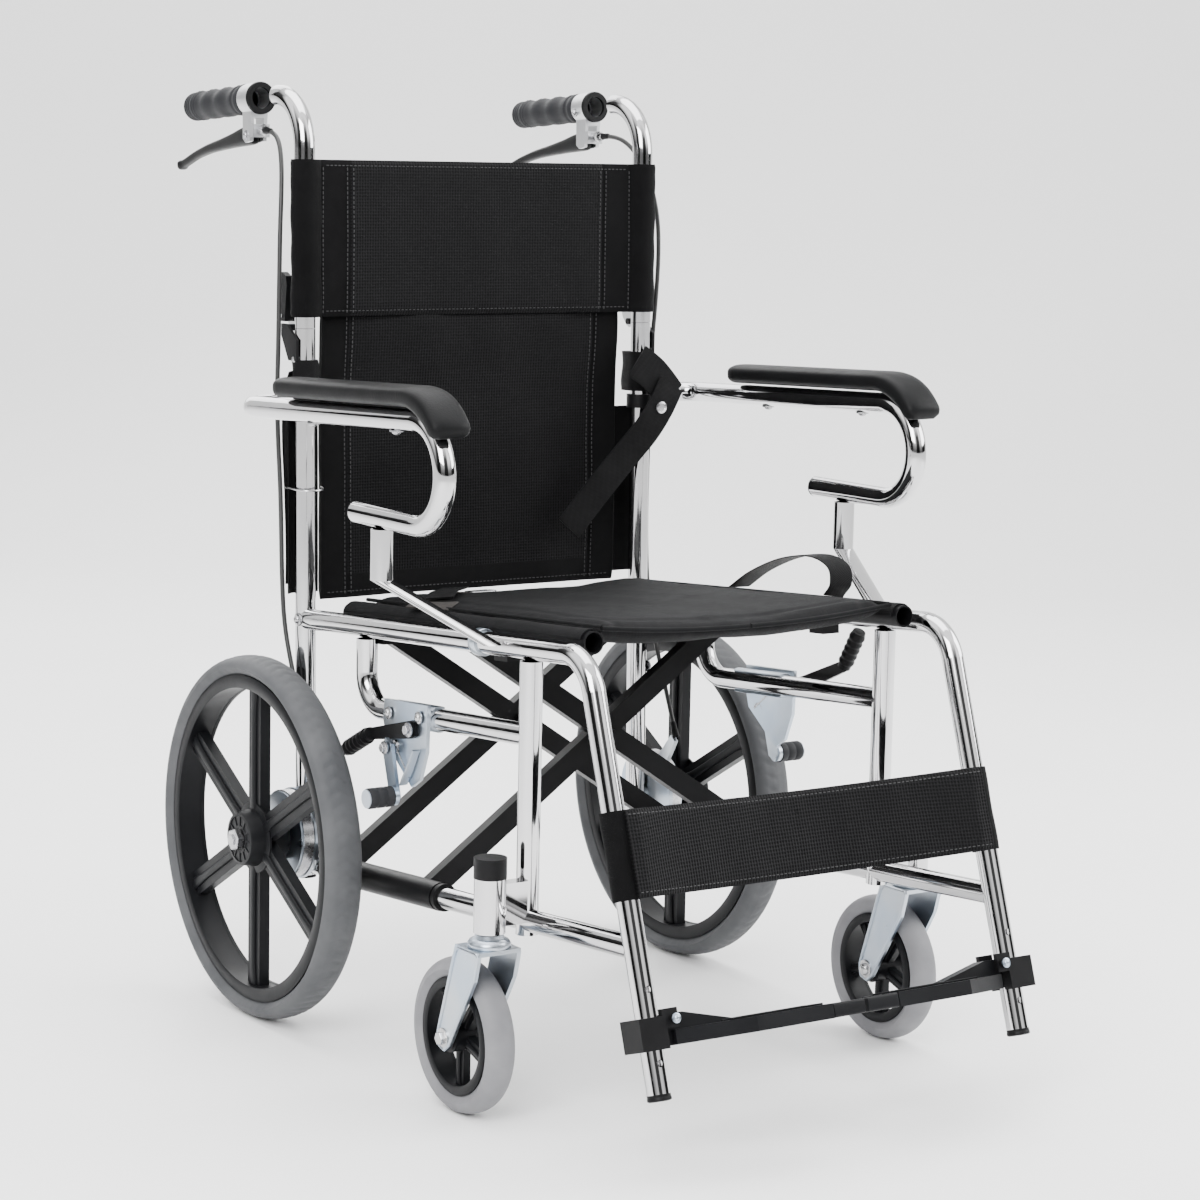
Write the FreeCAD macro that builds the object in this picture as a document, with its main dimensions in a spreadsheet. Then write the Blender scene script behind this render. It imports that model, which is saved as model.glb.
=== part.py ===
import FreeCAD, Part
import math
import os
import Sketcher

# Folding attendant wheelchair. X runs from the rider's right (-X) to left (+X),
# Y from front (-Y) to back (+Y), Z up from the floor. Sizes are in millimetres.
# Heights and lengths along Y are first given from the rear axle, forward being negative.

Vector = FreeCAD.Vector
Rotation = FreeCAD.Rotation
Placement = FreeCAD.Placement

doc = FreeCAD.newDocument("Wheelchair")

SIZES = [
    ("tube_outer", 22.2, "outside diameter of the frame tubes"),
    ("tube_wall", 1.5, "wall of the frame tubes"),
    ("weld_gap", 0.15, "gap left between tubes that are welded end to side"),
    ("axle_y", 193.5, "rear axle, back from the middle of the chair"),
    ("frame_half", 215.0, "side frame plane from the middle"),
    ("frame_slope", 4.3, "rise of the seat and lower rails towards the front, degrees"),
    ("seat_rail_z", 426.0, "seat rail centre above the axle position"),
    ("lower_rail_z", 161.6, "lower rail centre above the axle position"),
    ("brake_rail_z", 342.0, "brake rail centre above the axle position"),
    ("brake_rail_back", -126.0, "where the brake rail turns up to the seat rail"),
    ("post_offset", 3.0, "back post behind the axle at axle height"),
    ("post_recline", 1.1, "lean of the back posts, degrees"),
    ("post_foot_z", 148.0, "lower end of the back posts"),
    ("back_hinge_z", 735.0, "fold-down hinge of the back posts"),
    ("back_hinge_behind", 20.0, "fold-down pin behind the post centre"),
    ("handle_z", 981.5, "push handle height above the posts"),
    ("handle_drop", 3.7, "fall of the push handles towards the rear, degrees"),
    ("handle_end", 271.0, "rear end of the push handles"),
    ("handle_bend", 55.0, "bend radius of the push handles"),
    ("front_post_y", -442.0, "front post ahead of the axle"),
    ("front_post_foot_z", 181.0, "lower end of the front posts"),
    ("leg_lean", 18.7, "lean of the legs from upright, degrees"),
    ("leg_corner_y", -538.7, "corner of seat rail and leg"),
    ("leg_foot_z", 82.0, "lower end of the legs"),
    ("leg_bend", 45.0, "bend radius between seat rail and leg"),
    ("leg_hole", 7.0, "diameter of the footplate adjustment holes"),
    ("leg_hole_low_z", 108.0, "lower adjustment hole"),
    ("leg_hole_high_z", 172.0, "upper adjustment hole"),
    ("arm_half", 286.0, "armrest plane from the middle"),
    ("arm_pivot_z", 655.0, "armrest pivot height"),
    ("arm_rise", 2.4, "rise of the armrest towards the front, degrees"),
    ("arm_front", -345.0, "where the armrest tube starts to curl down"),
    ("arm_curl", 50.0, "radius of the curl at the front of the armrest"),
    ("arm_end", -229.0, "free end of the armrest tube"),
    ("arm_support_y", -278.0, "armrest support ahead of the axle"),
    ("arm_support_join", -405.0, "where the support meets the seat rail"),
    ("pad_length", 330.0, "armrest pad length"),
    ("pad_width", 44.0, "armrest pad width"),
    ("pad_height", 21.0, "armrest pad height"),
    ("wheel_half", 273.0, "rear wheel plane from the middle"),
    ("wheel_diameter", 390.0, "rear wheel outside diameter"),
    ("wheel_width", 42.0, "rear tyre width"),
    ("rim_diameter", 350.0, "rear rim outside diameter"),
    ("axle_diameter", 12.0, "rear axle diameter"),
    ("running_gap", 0.06, "radial clearance of a running fit"),
    ("castor_half", 260.0, "castor plane from the middle"),
    ("castor_y", -446.0, "castor stem ahead of the axle"),
    ("castor_trail", 44.0, "castor axle behind its stem"),
    ("castor_diameter", 154.0, "castor outside diameter"),
    ("castor_width", 32.0, "castor tyre width"),
    ("castor_rim", 116.0, "castor rim outside diameter"),
    ("stem_diameter", 12.0, "castor stem diameter"),
    ("housing_diameter", 31.0, "castor bearing housing diameter"),
    ("housing_low", 189.0, "lower end of the bearing housing"),
    ("housing_high", 242.0, "upper end of the bearing housing"),
    ("seat_tube_half", 187.0, "seat tubes from the middle"),
    ("seat_tube_rise", 7.9, "seat tube centre above the seat rail centre"),
    ("seat_front", -506.0, "front end of the seat tubes"),
    ("seat_back", -44.0, "rear end of the seat tubes"),
    ("seat_thick", 12.0, "seat cover thickness"),
    ("bar_height", 22.0, "cross bar depth in the folding plane"),
    ("bar_thick", 14.0, "cross bar thickness along the chair"),
    ("bar_wall", 1.5, "wall of the cross bars"),
    ("bar_pair_gap", 16.0, "crossing bars, centre to centre along the chair"),
    ("bar_front", -252.0, "front cross bar of the pair that starts on the right"),
    ("bar_rear", -72.0, "rear cross bar of the pair that starts on the right"),
    ("sleeve_outer", 29.0, "outside diameter of the sleeve on the lower rail"),
    ("sleeve_gap", 0.4, "clearance of the sleeve on the lower rail"),
    ("pivot_pin", 10.0, "cross bar pivot bolt diameter"),
    ("cloth", 5.0, "thickness of the back covers"),
    ("strap_thick", 4.0, "thickness of the calf strap"),
    ("strap_low_z", 250.0, "lower edge of the calf strap"),
    ("strap_high_z", 328.0, "upper edge of the calf strap"),
    ("cable_diameter", 5.0, "brake cable outside diameter"),
    ("grip_diameter", 31.0, "push grip diameter"),
    ("grip_length", 132.0, "push grip length"),
]

sheet = doc.addObject("Spreadsheet::Sheet", "Sizes")
for row, (alias, value, note) in enumerate(SIZES, 1):
    sheet.set(f"A{row}", note)
    sheet.set(f"B{row}", str(value))
    sheet.setAlias(f"B{row}", alias)
doc.recompute()


def size(alias):
    return float(sheet.get(alias))


SIDES = {"right": -1, "left": 1}
tubeRadius = size("tube_outer") / 2
slope = math.tan(math.radians(size("frame_slope")))
lean = math.tan(math.radians(size("leg_lean")))
recline = math.tan(math.radians(size("post_recline")))
axleZ = size("wheel_diameter") / 2


# ---- places on the frame, along Y from the axle ----

def railZ(alias, y):
    """Height of a sloping rail at y."""
    return size(alias) - slope * y


def postY(z):
    """Back post centre at height z."""
    return size("post_offset") + recline * (z - axleZ)


def legY(z):
    """Leg centre at height z."""
    cornerZ = railZ("seat_rail_z", size("leg_corner_y"))
    return size("leg_corner_y") - lean * (cornerZ - z)


def place(x, y, z, tilt=0.0):
    """A placement at x, y from the axle, z, turned about X by tilt degrees."""
    return Placement(Vector(x, size("axle_y") + y, z), Rotation(Vector(1, 0, 0), tilt))


def foldFrame():
    """Local axes of the folding linkage: Y along the rails, Z square to them, on the lower rail."""
    return place(0, 0, size("lower_rail_z"), -size("frame_slope"))


def postFrame():
    """Local axes along the back posts, with their origin at axle height."""
    return place(0, postY(axleZ), axleZ, -size("post_recline"))


def legFrame(z):
    """Local axes along the legs, with their origin at height z."""
    return place(0, legY(z), z, -size("leg_lean"))


# ---- building blocks ----

pieces = {}


def node(obj, name):
    """Names a finished sub-part."""
    obj.Label = name
    pieces[name] = obj
    return obj


def newBody(name):
    body = doc.addObject("PartDesign::Body", name)
    body.Label = name
    return body


def sketchOn(body, role, offset=None):
    sketch = body.newObject("Sketcher::SketchObject", body.Name + "_sketch")
    plane = [f for f in body.Origin.OriginFeatures if f.Role == role][0]
    sketch.AttachmentSupport = (plane, [""])
    sketch.MapMode = "FlatFace"
    if offset is not None:
        sketch.AttachmentOffset = offset
    return sketch


def addRadius(sketch, index, radius, expression):
    number = sketch.addConstraint(Sketcher.Constraint("Radius", index, radius))
    sketch.renameConstraint(number, "radius")
    sketch.setExpression("Constraints.radius", expression)


def outline(sketch, points):
    """Closed straight outline through the points."""
    corners = [Vector(a, b, 0) for a, b in points]
    for start, end in zip(corners, corners[1:] + corners[:1]):
        sketch.addGeometry(Part.LineSegment(start, end), False)
    count = len(corners)
    for i in range(count):
        sketch.addConstraint(Sketcher.Constraint("Coincident", i, 2, (i + 1) % count, 1))


def plate(name, role, points, thickness, where):
    """A flat plate cut to an outline and padded to both sides of its plane."""
    body = newBody(name)
    sketch = sketchOn(body, role)
    outline(sketch, points)
    pad = body.newObject("PartDesign::Pad", name + "_pad")
    pad.Profile = sketch
    pad.SideType = "Symmetric"
    if isinstance(thickness, str):
        pad.setExpression("Length", thickness)
    else:
        pad.Length = thickness
    body.Placement = where
    return body


def turned(name, points, where):
    """A solid of revolution about its own Z from (radius, height) points."""
    body = newBody(name)
    sketch = sketchOn(body, "XZ_Plane")
    outline(sketch, points)
    turn = body.newObject("PartDesign::Revolution", name + "_turn")
    turn.Profile = sketch
    turn.ReferenceAxis = (sketch, ["V_Axis"])
    turn.Angle = 360
    body.Placement = where
    return body


def bendPath(points, bend):
    """Straight runs joined by tangent arcs of one bend radius."""
    corners = [Vector(a, b, 0) for a, b in points]
    edges = []
    start = corners[0]
    for before, corner, after in zip(corners, corners[1:], corners[2:]):
        back = (before - corner).normalize()
        ahead = (after - corner).normalize()
        half = back.getAngle(ahead) / 2
        reach = bend / math.tan(half)
        middle = corner + (back + ahead).normalize() * (bend / math.sin(half) - bend)
        edges.append(Part.LineSegment(start, corner + back * reach))
        edges.append(Part.Arc(corner + back * reach, middle, corner + ahead * reach))
        start = corner + ahead * reach
    edges.append(Part.LineSegment(start, corners[-1]))
    return edges


def rod(name, points, bend, radius, where):
    """A round bar bent along a flat path in its local YZ plane."""
    body = newBody(name)
    path = sketchOn(body, "YZ_Plane")
    for i, edge in enumerate(bendPath(points, bend)):
        path.addGeometry(edge, False)
        if i:
            ends = [path.getPoint(i - 1, 2), path.getPoint(i, 1), path.getPoint(i, 2)]
            near = 1 if ends[0].distanceToPoint(ends[1]) < ends[0].distanceToPoint(ends[2]) else 2
            path.addConstraint(Sketcher.Constraint("Coincident", i - 1, 2, i, near))
    (ya, za), (yb, zb) = points[0], points[1]
    along = Vector(yb - ya, zb - za, 0).normalize()
    offset = Placement(Vector(ya, za, 0), Rotation(Vector(0, 0, 1), along))
    section = sketchOn(body, "YZ_Plane", offset)
    section.addGeometry(Part.Circle(Vector(0, 0, 0), Vector(0, 0, 1), 5), False)
    section.addConstraint(Sketcher.Constraint("Coincident", 0, 3, -1, 1))
    addRadius(section, 0, 5, radius)
    pipe = body.newObject("PartDesign::AdditivePipe", name + "_pipe")
    pipe.Profile = section
    pipe.Spine = path
    body.Placement = where
    return body


def cylinder(name, radius, height, where):
    """A plain cylinder; radius and height are numbers or sheet expressions."""
    obj = doc.addObject("Part::Cylinder", name)
    for prop, value in (("Radius", radius), ("Height", height)):
        if isinstance(value, str):
            obj.setExpression(prop, value)
        else:
            setattr(obj, prop, value)
    obj.Placement = where
    return obj


def block(name, sides, corner, frame):
    """A box with its lowest corner at a point of a local frame; sides may be expressions."""
    obj = doc.addObject("Part::Box", name)
    for prop, value in zip(("Length", "Width", "Height"), sides):
        if isinstance(value, str):
            obj.setExpression(prop, value)
        else:
            setattr(obj, prop, value)
    obj.Placement = frame.multiply(Placement(Vector(*corner), Rotation()))
    return obj


def fuse(name, parts):
    obj = doc.addObject("Part::MultiFuse", name)
    obj.Shapes = parts
    obj.Refine = True
    return obj


def group(name, parts):
    """Separate solids that make up one node."""
    obj = doc.addObject("Part::Compound", name)
    obj.Links = parts
    return obj


def cut(name, base, tools):
    tool = tools[0] if len(tools) == 1 else fuse(name + "_tools", tools)
    obj = doc.addObject("Part::Cut", name)
    obj.Base = base
    obj.Tool = tool
    obj.Refine = True
    return obj


OUTER = "Sizes.tube_outer / 2"
INNER = "Sizes.tube_outer / 2 - Sizes.tube_wall"
JOINT = "Sizes.tube_outer / 2 + Sizes.weld_gap"
ALONG_X = Rotation(Vector(0, 1, 0), 90)


def across(x, y, z):
    """A placement whose local Z runs along +X."""
    return Placement(Vector(x, size("axle_y") + y, z), ALONG_X)


def sidePlate(name, points, thickness, x):
    """A plate in the side view: points are (y from the axle, z), x its mid plane."""
    shifted = [(y + size("axle_y"), z) for y, z in points]
    return plate(name, "YZ_Plane", shifted, thickness, Placement(Vector(x, 0, 0), Rotation()))


def sideRod(name, points, bend, radius, x):
    """A bent bar in the side view at one x."""
    shifted = [(y + size("axle_y"), z) for y, z in points]
    return rod(name, shifted, bend, radius, Placement(Vector(x, 0, 0), Rotation()))


def postTool(name, x, radius=JOINT):
    """The back post as a cutting cylinder."""
    frame = postFrame().multiply(Placement(Vector(x, 0, -100), Rotation()))
    return cylinder(name, radius, 700, frame)


def frontPostTool(name, x, radius=JOINT):
    """The front post as a cutting cylinder."""
    low = size("front_post_foot_z")
    return cylinder(name, radius, 300, place(x, size("front_post_y"), low))


# ---- side frames ----

def backPost(side, x):
    """Straight post from below the lower rail to the fold-down hinge, drilled for the axle."""
    low, high = size("post_foot_z"), size("back_hinge_z") - 0.2
    points = [(postY(low), low), (postY(high), high)]
    outer = sideRod(f"post_outer_{side}", points, 1, OUTER, x)
    inner = sideRod(f"post_inner_{side}", points, 1, INNER, x)
    hole = cylinder(f"post_hole_{side}", "Sizes.axle_diameter / 2 + 0.2", 40, across(x - 20, 0, axleZ))
    node(cut(f"post_cut_{side}", outer, [inner, hole]), f"back_post_{side}")


def mainRail(side, x):
    """Seat rail that bends down at the front into the leg."""
    foot = size("leg_foot_z")
    corner = size("leg_corner_y")
    points = [
        (0, railZ("seat_rail_z", 0)),
        (corner, railZ("seat_rail_z", corner)),
        (legY(foot), foot),
    ]
    bend = size("leg_bend")
    outer = sideRod(f"rail_outer_{side}", points, bend, OUTER, x)
    inner = sideRod(f"rail_inner_{side}", points, bend, INNER, x)
    holes = []
    for level in ("low", "high"):
        z = size(f"leg_hole_{level}_z")
        frame = legFrame(z).multiply(Placement(Vector(x, 30, 0), Rotation(Vector(1, 0, 0), 90)))
        holes.append(cylinder(f"leg_hole_{level}_{side}", "Sizes.leg_hole / 2", 60, frame))
    tools = [inner, postTool(f"rail_post_tool_{side}", x)] + holes
    node(cut(f"rail_cut_{side}", outer, tools), f"seat_rail_{side}")


def lowerRail(side, x):
    """Lower rail from the back post to the front post; the cross bars turn on it."""
    front = size("front_post_y")
    points = [(0, railZ("lower_rail_z", 0)), (front, railZ("lower_rail_z", front))]
    outer = sideRod(f"lower_outer_{side}", points, 1, OUTER, x)
    inner = sideRod(f"lower_inner_{side}", points, 1, INNER, x)
    tools = [inner, postTool(f"lower_post_tool_{side}", x), frontPostTool(f"lower_front_tool_{side}", x)]
    node(cut(f"lower_cut_{side}", outer, tools), f"lower_rail_{side}")


def frontFrame(side, x, sign):
    """Front post, brake rail, front stub of the lower rail and castor housing, welded together."""
    postAt, foot = size("front_post_y"), size("front_post_foot_z")
    weld = tubeRadius * (1 + slope) + size("weld_gap")
    under = railZ("seat_rail_z", postAt) - weld
    postPoints = [(postAt, foot), (postAt, under)]
    backAt = size("brake_rail_back")
    brakeTop = railZ("seat_rail_z", backAt) - weld
    brakePoints = [(postAt, railZ("brake_rail_z", postAt)), (backAt, railZ("brake_rail_z", backAt)),
                   (backAt, brakeTop)]
    legAt = legY(railZ("lower_rail_z", legY(205)))
    stubPoints = [(postAt, railZ("lower_rail_z", postAt)), (legAt, railZ("lower_rail_z", legAt))]
    outers, inners = [], []
    for kind, points in (("post", postPoints), ("brake", brakePoints), ("stub", stubPoints)):
        outers.append(sideRod(f"front_{kind}_outer_{side}", points, 35, OUTER, x))
        inners.append(sideRod(f"front_{kind}_inner_{side}", points, 35, INNER, x))
    low, high = size("housing_low"), size("housing_high")
    stemX = sign * size("castor_half")
    housing = cylinder(f"housing_outer_{side}", "Sizes.housing_diameter / 2", high - low,
                       place(stemX, size("castor_y"), low))
    bore = cylinder(f"housing_bore_{side}", "Sizes.stem_diameter / 2 + Sizes.running_gap", high - low,
                    place(stemX, size("castor_y"), low))
    reach = size("castor_half") - size("frame_half")
    bridge = block(f"housing_bridge_{side}", (reach - 15, 16, high - low - 12),
                   (min(x, stemX) + 7.5, -8, 6), place(0, size("castor_y"), low))
    legTool = cylinder(f"stub_leg_tool_{side}", JOINT, 200,
                       legFrame(205).multiply(Placement(Vector(x, 0, -100), Rotation())))
    body = fuse(f"front_fused_{side}", outers + [housing, bridge])
    node(cut(f"front_cut_{side}", body, inners + [bore, legTool]), f"front_frame_{side}")


def armSupport(side, x, sign):
    """Tube that stands outside the wheel, carries the armrest and curves in to the seat rail."""
    startY, endY = size("arm_support_y"), size("arm_support_join")
    inset = size("arm_half") - size("frame_half") - size("tube_outer") - 0.4
    run = math.hypot(endY - startY, inset)
    turn = math.degrees(math.atan2(sign * inset, startY - endY))
    joinZ = railZ("seat_rail_z", endY) + 3
    topZ = armLowZ() - tubeRadius - 0.4
    points = [(0, topZ), (0, joinZ - 2), (-run, joinZ)]
    where = Placement(Vector(sign * size("arm_half"), size("axle_y") + startY, 0),
                      Rotation(Vector(0, 0, 1), -turn))
    outer = rod(f"support_outer_{side}", points, 50, OUTER, where)
    inner = rod(f"support_inner_{side}", points, 50, INNER, where)
    node(cut(f"support_cut_{side}", outer, [inner]), f"arm_support_{side}")


# ---- armrests ----

def armTopZ(y):
    """Armrest tube centre at y."""
    return size("arm_pivot_z") - math.tan(math.radians(size("arm_rise"))) * (y - postY(size("arm_pivot_z")))


def armLowZ():
    """Centre of the lower, free run of the armrest tube."""
    return armTopZ(size("arm_front")) - 2 * size("arm_curl")


def armrestTube(side, sign):
    """Tube from the pivot on the back post, out, forward and curled back under at the front."""
    pivotZ = size("arm_pivot_z")
    pivotY = postY(pivotZ)
    front, curl = size("arm_front"), size("arm_curl")
    top, low = armTopZ(front), armLowZ()
    x = sign * size("arm_half")
    start = sign * (size("frame_half") + 19)
    y0 = size("axle_y")
    corner = Vector(x, y0 + pivotY, pivotZ)
    bend = 26
    ahead = Vector(0, front - pivotY, top - pivotZ).normalize()
    inward = Vector(-sign, 0, 0)
    middle = corner + (ahead + inward).normalize() * (bend / math.sin(math.pi / 4) - bend)
    edges = [
        Part.LineSegment(Vector(start, y0 + pivotY, pivotZ), corner + inward * bend),
        Part.Arc(corner + inward * bend, middle, corner + ahead * bend),
        Part.LineSegment(corner + ahead * bend, Vector(x, y0 + front, top)),
        Part.Arc(Vector(x, y0 + front, top), Vector(x, y0 + front - curl, (top + low) / 2),
                 Vector(x, y0 + front, low)),
        Part.LineSegment(Vector(x, y0 + front, low), Vector(x, y0 + size("arm_end"), low)),
    ]
    spine = Part.Wire([edge.toShape() for edge in edges])
    rings = []
    for radius in (tubeRadius, tubeRadius - size("tube_wall")):
        circle = Part.Circle(Vector(start, y0 + pivotY, pivotZ), Vector(sign, 0, 0), radius)
        rings.append(spine.makePipeShell([Part.Wire(circle.toShape())], True, False))
    obj = doc.addObject("Part::Feature", f"armrest_tube_solid_{side}")
    obj.Shape = rings[0].cut(rings[1])
    obj.Placement = Placement()
    node(obj, f"armrest_tube_{side}")


def armrestPad(side, sign):
    """Moulded pad on the armrest tube; its front end droops over the curl."""
    front, curl = size("arm_front"), size("arm_curl")
    backEnd = front + size("pad_length") - 60
    under = tubeRadius + 1.4
    height = size("pad_height")
    noseIn, noseOut = curl + under, curl + under + height
    centreZ = (armTopZ(front) + armLowZ()) / 2
    inner, outer = [], []
    for angle in (90, 110, 130, 150):
        a = math.radians(angle)
        inner.append((front + noseIn * math.cos(a), centreZ + noseIn * math.sin(a)))
        outer.append((front + noseOut * math.cos(a), centreZ + noseOut * math.sin(a)))
    rearLow = (backEnd, armTopZ(backEnd) + under)
    rearHigh = (backEnd, armTopZ(backEnd) + under + height)
    points = [rearLow, rearHigh] + outer + inner[::-1]
    node(sidePlate(f"pad_body_{side}", points, "Sizes.pad_width", sign * size("arm_half")),
         f"armrest_pad_{side}")


# ---- fold-down back with push handles ----

def pushTube(side, x):
    """Upper post that bends back into the push handle."""
    low = size("back_hinge_z") + 0.2
    top = size("handle_z")
    end = size("handle_end")
    drop = math.tan(math.radians(size("handle_drop")))
    points = [(postY(low), low), (postY(top), top), (end, top - drop * (end - postY(top)))]
    outer = sideRod(f"push_outer_{side}", points, size("handle_bend"), OUTER, x)
    inner = sideRod(f"push_inner_{side}", points, size("handle_bend"), INNER, x)
    z = size("back_hinge_z")
    y, behind = postY(z), size("back_hinge_behind")
    latchY, latchZ = latchPivot()
    lug = [(y + 8, z + 4), (y + 8, z + 28), (latchY + 3, latchZ + 9), (latchY + 6, latchZ + 1),
           (latchY + 3, z + 4), (y + behind + 6, z - 4), (y + behind, z - 7), (y + behind - 6, z - 4),
           (y + behind - 7, z + 4)]
    ear = sidePlate(f"push_lug_{side}", lug, 4, x)
    eye = cylinder(f"push_eye_{side}", 3.5 + size("running_gap"), 20, across(x - 10, y + behind, z))
    stub = cylinder(f"push_stub_{side}", 2.5, 13, across(x if x > 0 else x - 13, latchY, latchZ))
    body = fuse(f"push_fused_{side}", [outer, ear, stub])
    node(cut(f"push_cut_{side}", body, [inner, eye]), f"push_tube_{side}")


def handleFrame(x, y):
    """Local axes on the push handle, Z along it to the rear."""
    top = size("handle_z")
    drop = size("handle_drop")
    z = top - math.tan(math.radians(drop)) * (y - postY(top))
    return Placement(Vector(x, size("axle_y") + y, z), Rotation(Vector(1, 0, 0), -90 - drop))


def grip(side, x):
    """Rubber grip with three finger swellings and a closed end."""
    bore = tubeRadius + 0.1
    outer = size("grip_diameter") / 2
    length = size("grip_length")
    points = [(bore, 0), (outer + 1.5, 0), (outer + 1.5, 5)]
    for i in range(13):
        share = i / 12
        points.append((outer - 0.6 + 0.9 * math.sin(share * math.pi * 6), 9 + share * (length - 22)))
    points += [(outer - 1, length - 4), (outer - 5, length), (0, length), (0, length - 4), (bore, length - 4)]
    start = size("handle_end") + 4.2 - length
    node(turned(f"grip_body_{side}", points, handleFrame(x, start)), f"push_grip_{side}")


def leverMount(side, x):
    """Clamp of the hand brake round the handle, with the lever's fork below it."""
    y = 118.0
    frame = handleFrame(x, y)
    ring = cylinder(f"mount_ring_{side}", 17, 22, frame)
    bore = cylinder(f"mount_bore_{side}", "Sizes.tube_outer / 2 + Sizes.weld_gap", 22, frame)
    pivotY, pivotZ = leverPivot()
    z0 = handleFrame(x, y).Base.z
    cheeks = []
    for offset in (-8, 8):
        cheek = [(y + 1, z0 - 14), (y + 21, z0 - 15), (pivotY + 8, pivotZ - 4), (pivotY + 2, pivotZ - 8),
                 (pivotY - 9, pivotZ - 6)]
        cheeks.append(sidePlate(f"mount_cheek_{offset + 8}_{side}", cheek, 4, x + offset))
    neck = sidePlate(f"mount_neck_{side}", [(y + 1, z0 - 13), (y + 21, z0 - 14), (y + 20, z0 - 22),
                                           (y + 1, z0 - 21)], 20, x)
    pin = cylinder(f"mount_pin_{side}", 2.5, 20, across(x - 10, pivotY, pivotZ))
    ferrule = cylinder(f"mount_ferrule_{side}", 4, 14,
                       place(x, y + 3, pivotZ + 6, 90))
    bridge = sidePlate(f"mount_bridge_{side}", [(y - 4, pivotZ + 12), (y + 4, pivotZ + 12), (y + 4, pivotZ - 2),
                                               (y - 4, pivotZ - 2)], 20, x)
    body = fuse(f"mount_fused_{side}", [ring, neck, pin, ferrule, bridge] + cheeks)
    node(cut(f"mount_cut_{side}", body, [bore]), f"brake_lever_mount_{side}")


def leverPivot():
    """Pivot of the hand brake lever, y from the axle and z."""
    return 130.0, size("handle_z") - 46


def handLever(side, x):
    """Curved hand brake lever below the grip."""
    pivotY, pivotZ = leverPivot()
    upper = [(-4, 6), (14, 5), (45, -1), (85, -7), (130, -16), (165, -26), (184, -34)]
    lower = [(180, -41), (160, -35), (125, -26), (80, -18), (40, -13), (12, -10), (-5, -7)]
    points = [(pivotY + dy, pivotZ + dz) for dy, dz in upper + lower]
    blade = sidePlate(f"lever_blade_{side}", points, 11, x)
    hole = cylinder(f"lever_hole_{side}", 2.56, 30, across(x - 15, pivotY, pivotZ))
    node(cut(f"lever_cut_{side}", blade, [hole]), f"brake_hand_lever_{side}")


def latchPivot():
    """Pivot of the back release paddle, y from the axle and z."""
    z = size("back_hinge_z") + 12
    return postY(z) + 30, z


def backLatch(side, x, sign):
    """Release paddle of the fold-down back, outside and behind the post."""
    pivotY, pivotZ = latchPivot()
    points = [(-5, -6), (5, -6), (6, 6), (8, 20), (12, 32), (10, 42), (2, 46), (-7, 42), (-9, 32), (-7, 18), (-6, 6)]
    shape = [(pivotY + dy, pivotZ + dz) for dy, dz in points]
    blade = sidePlate(f"latch_blade_{side}", shape, 7, x + sign * 7.2)
    hole = cylinder(f"latch_hole_{side}", 2.56, 30, across(x + sign * 8 - 15, pivotY, pivotZ))
    node(cut(f"latch_cut_{side}", blade, [hole]), f"back_latch_{side}")


# ---- wheels ----

def spokedHub(name, rimRadius, rimDepth, rimHalf, coreRadius, coreHalf, bore, spokes, spokeWidth, spokeHalf, where):
    """A moulded wheel centre: core, rim and a ring of spokes whose ends follow the core and the rim."""
    inside = rimRadius - rimDepth
    rim = turned(name + "_rim", [(inside, -rimHalf), (rimRadius, -rimHalf), (rimRadius, rimHalf), (inside, rimHalf)],
                 where)
    core = turned(name + "_core", [(bore, -coreHalf), (coreRadius, -coreHalf), (coreRadius, coreHalf),
                                   (bore, coreHalf)], where)
    parts = [rim, core]
    for i in range(spokes):
        spin = where.multiply(Placement(Vector(), Rotation(Vector(0, 0, 1), 360 * i / spokes)))
        bar = block(f"{name}_bar_{i}", (inside + 4, spokeWidth, 2 * spokeHalf), (0, -spokeWidth / 2, -spokeHalf), spin)
        ring = turned(f"{name}_ring_{i}", [(coreRadius, -rimHalf), (inside, -rimHalf), (inside, rimHalf),
                                           (coreRadius, rimHalf)], where)
        spoke = doc.addObject("Part::Common", f"{name}_spoke_{i}")
        spoke.Base, spoke.Tool = bar, ring
        parts.append(spoke)
    return group(name + "_group", parts)


def tyre(name, outer, inner, width, where):
    """A solid tyre with a rounded tread and a flat seat on its rim."""
    half = width / 2
    shoulder = outer - half * 0.55
    points = [(inner, -half * 0.62), (inner + (shoulder - inner) * 0.5, -half * 0.93)]
    for i in range(9):
        angle = math.pi * (i / 8 - 0.5)
        points.append((shoulder + half * 0.55 * math.cos(angle), half * math.sin(angle)))
    points += [(inner + (shoulder - inner) * 0.5, half * 0.93), (inner, half * 0.62)]
    return turned(name, points, where)


def rearWheel(side, sign):
    """Moulded six-spoke wheel and its solid tyre."""
    where = across(sign * size("wheel_half"), 0, axleZ)
    rim = size("rim_diameter") / 2
    hub = spokedHub(f"wheel_centre_{side}", rim, 14, 15, 27, 23,
                    size("axle_diameter") / 2 + size("running_gap"), 6, 26, 6, where)
    node(hub, f"wheel_hub_{side}")
    tread = tyre(f"wheel_tread_{side}", axleZ, rim + 0.05, size("wheel_width"), where)
    node(tread, f"wheel_tyre_{side}")


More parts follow.
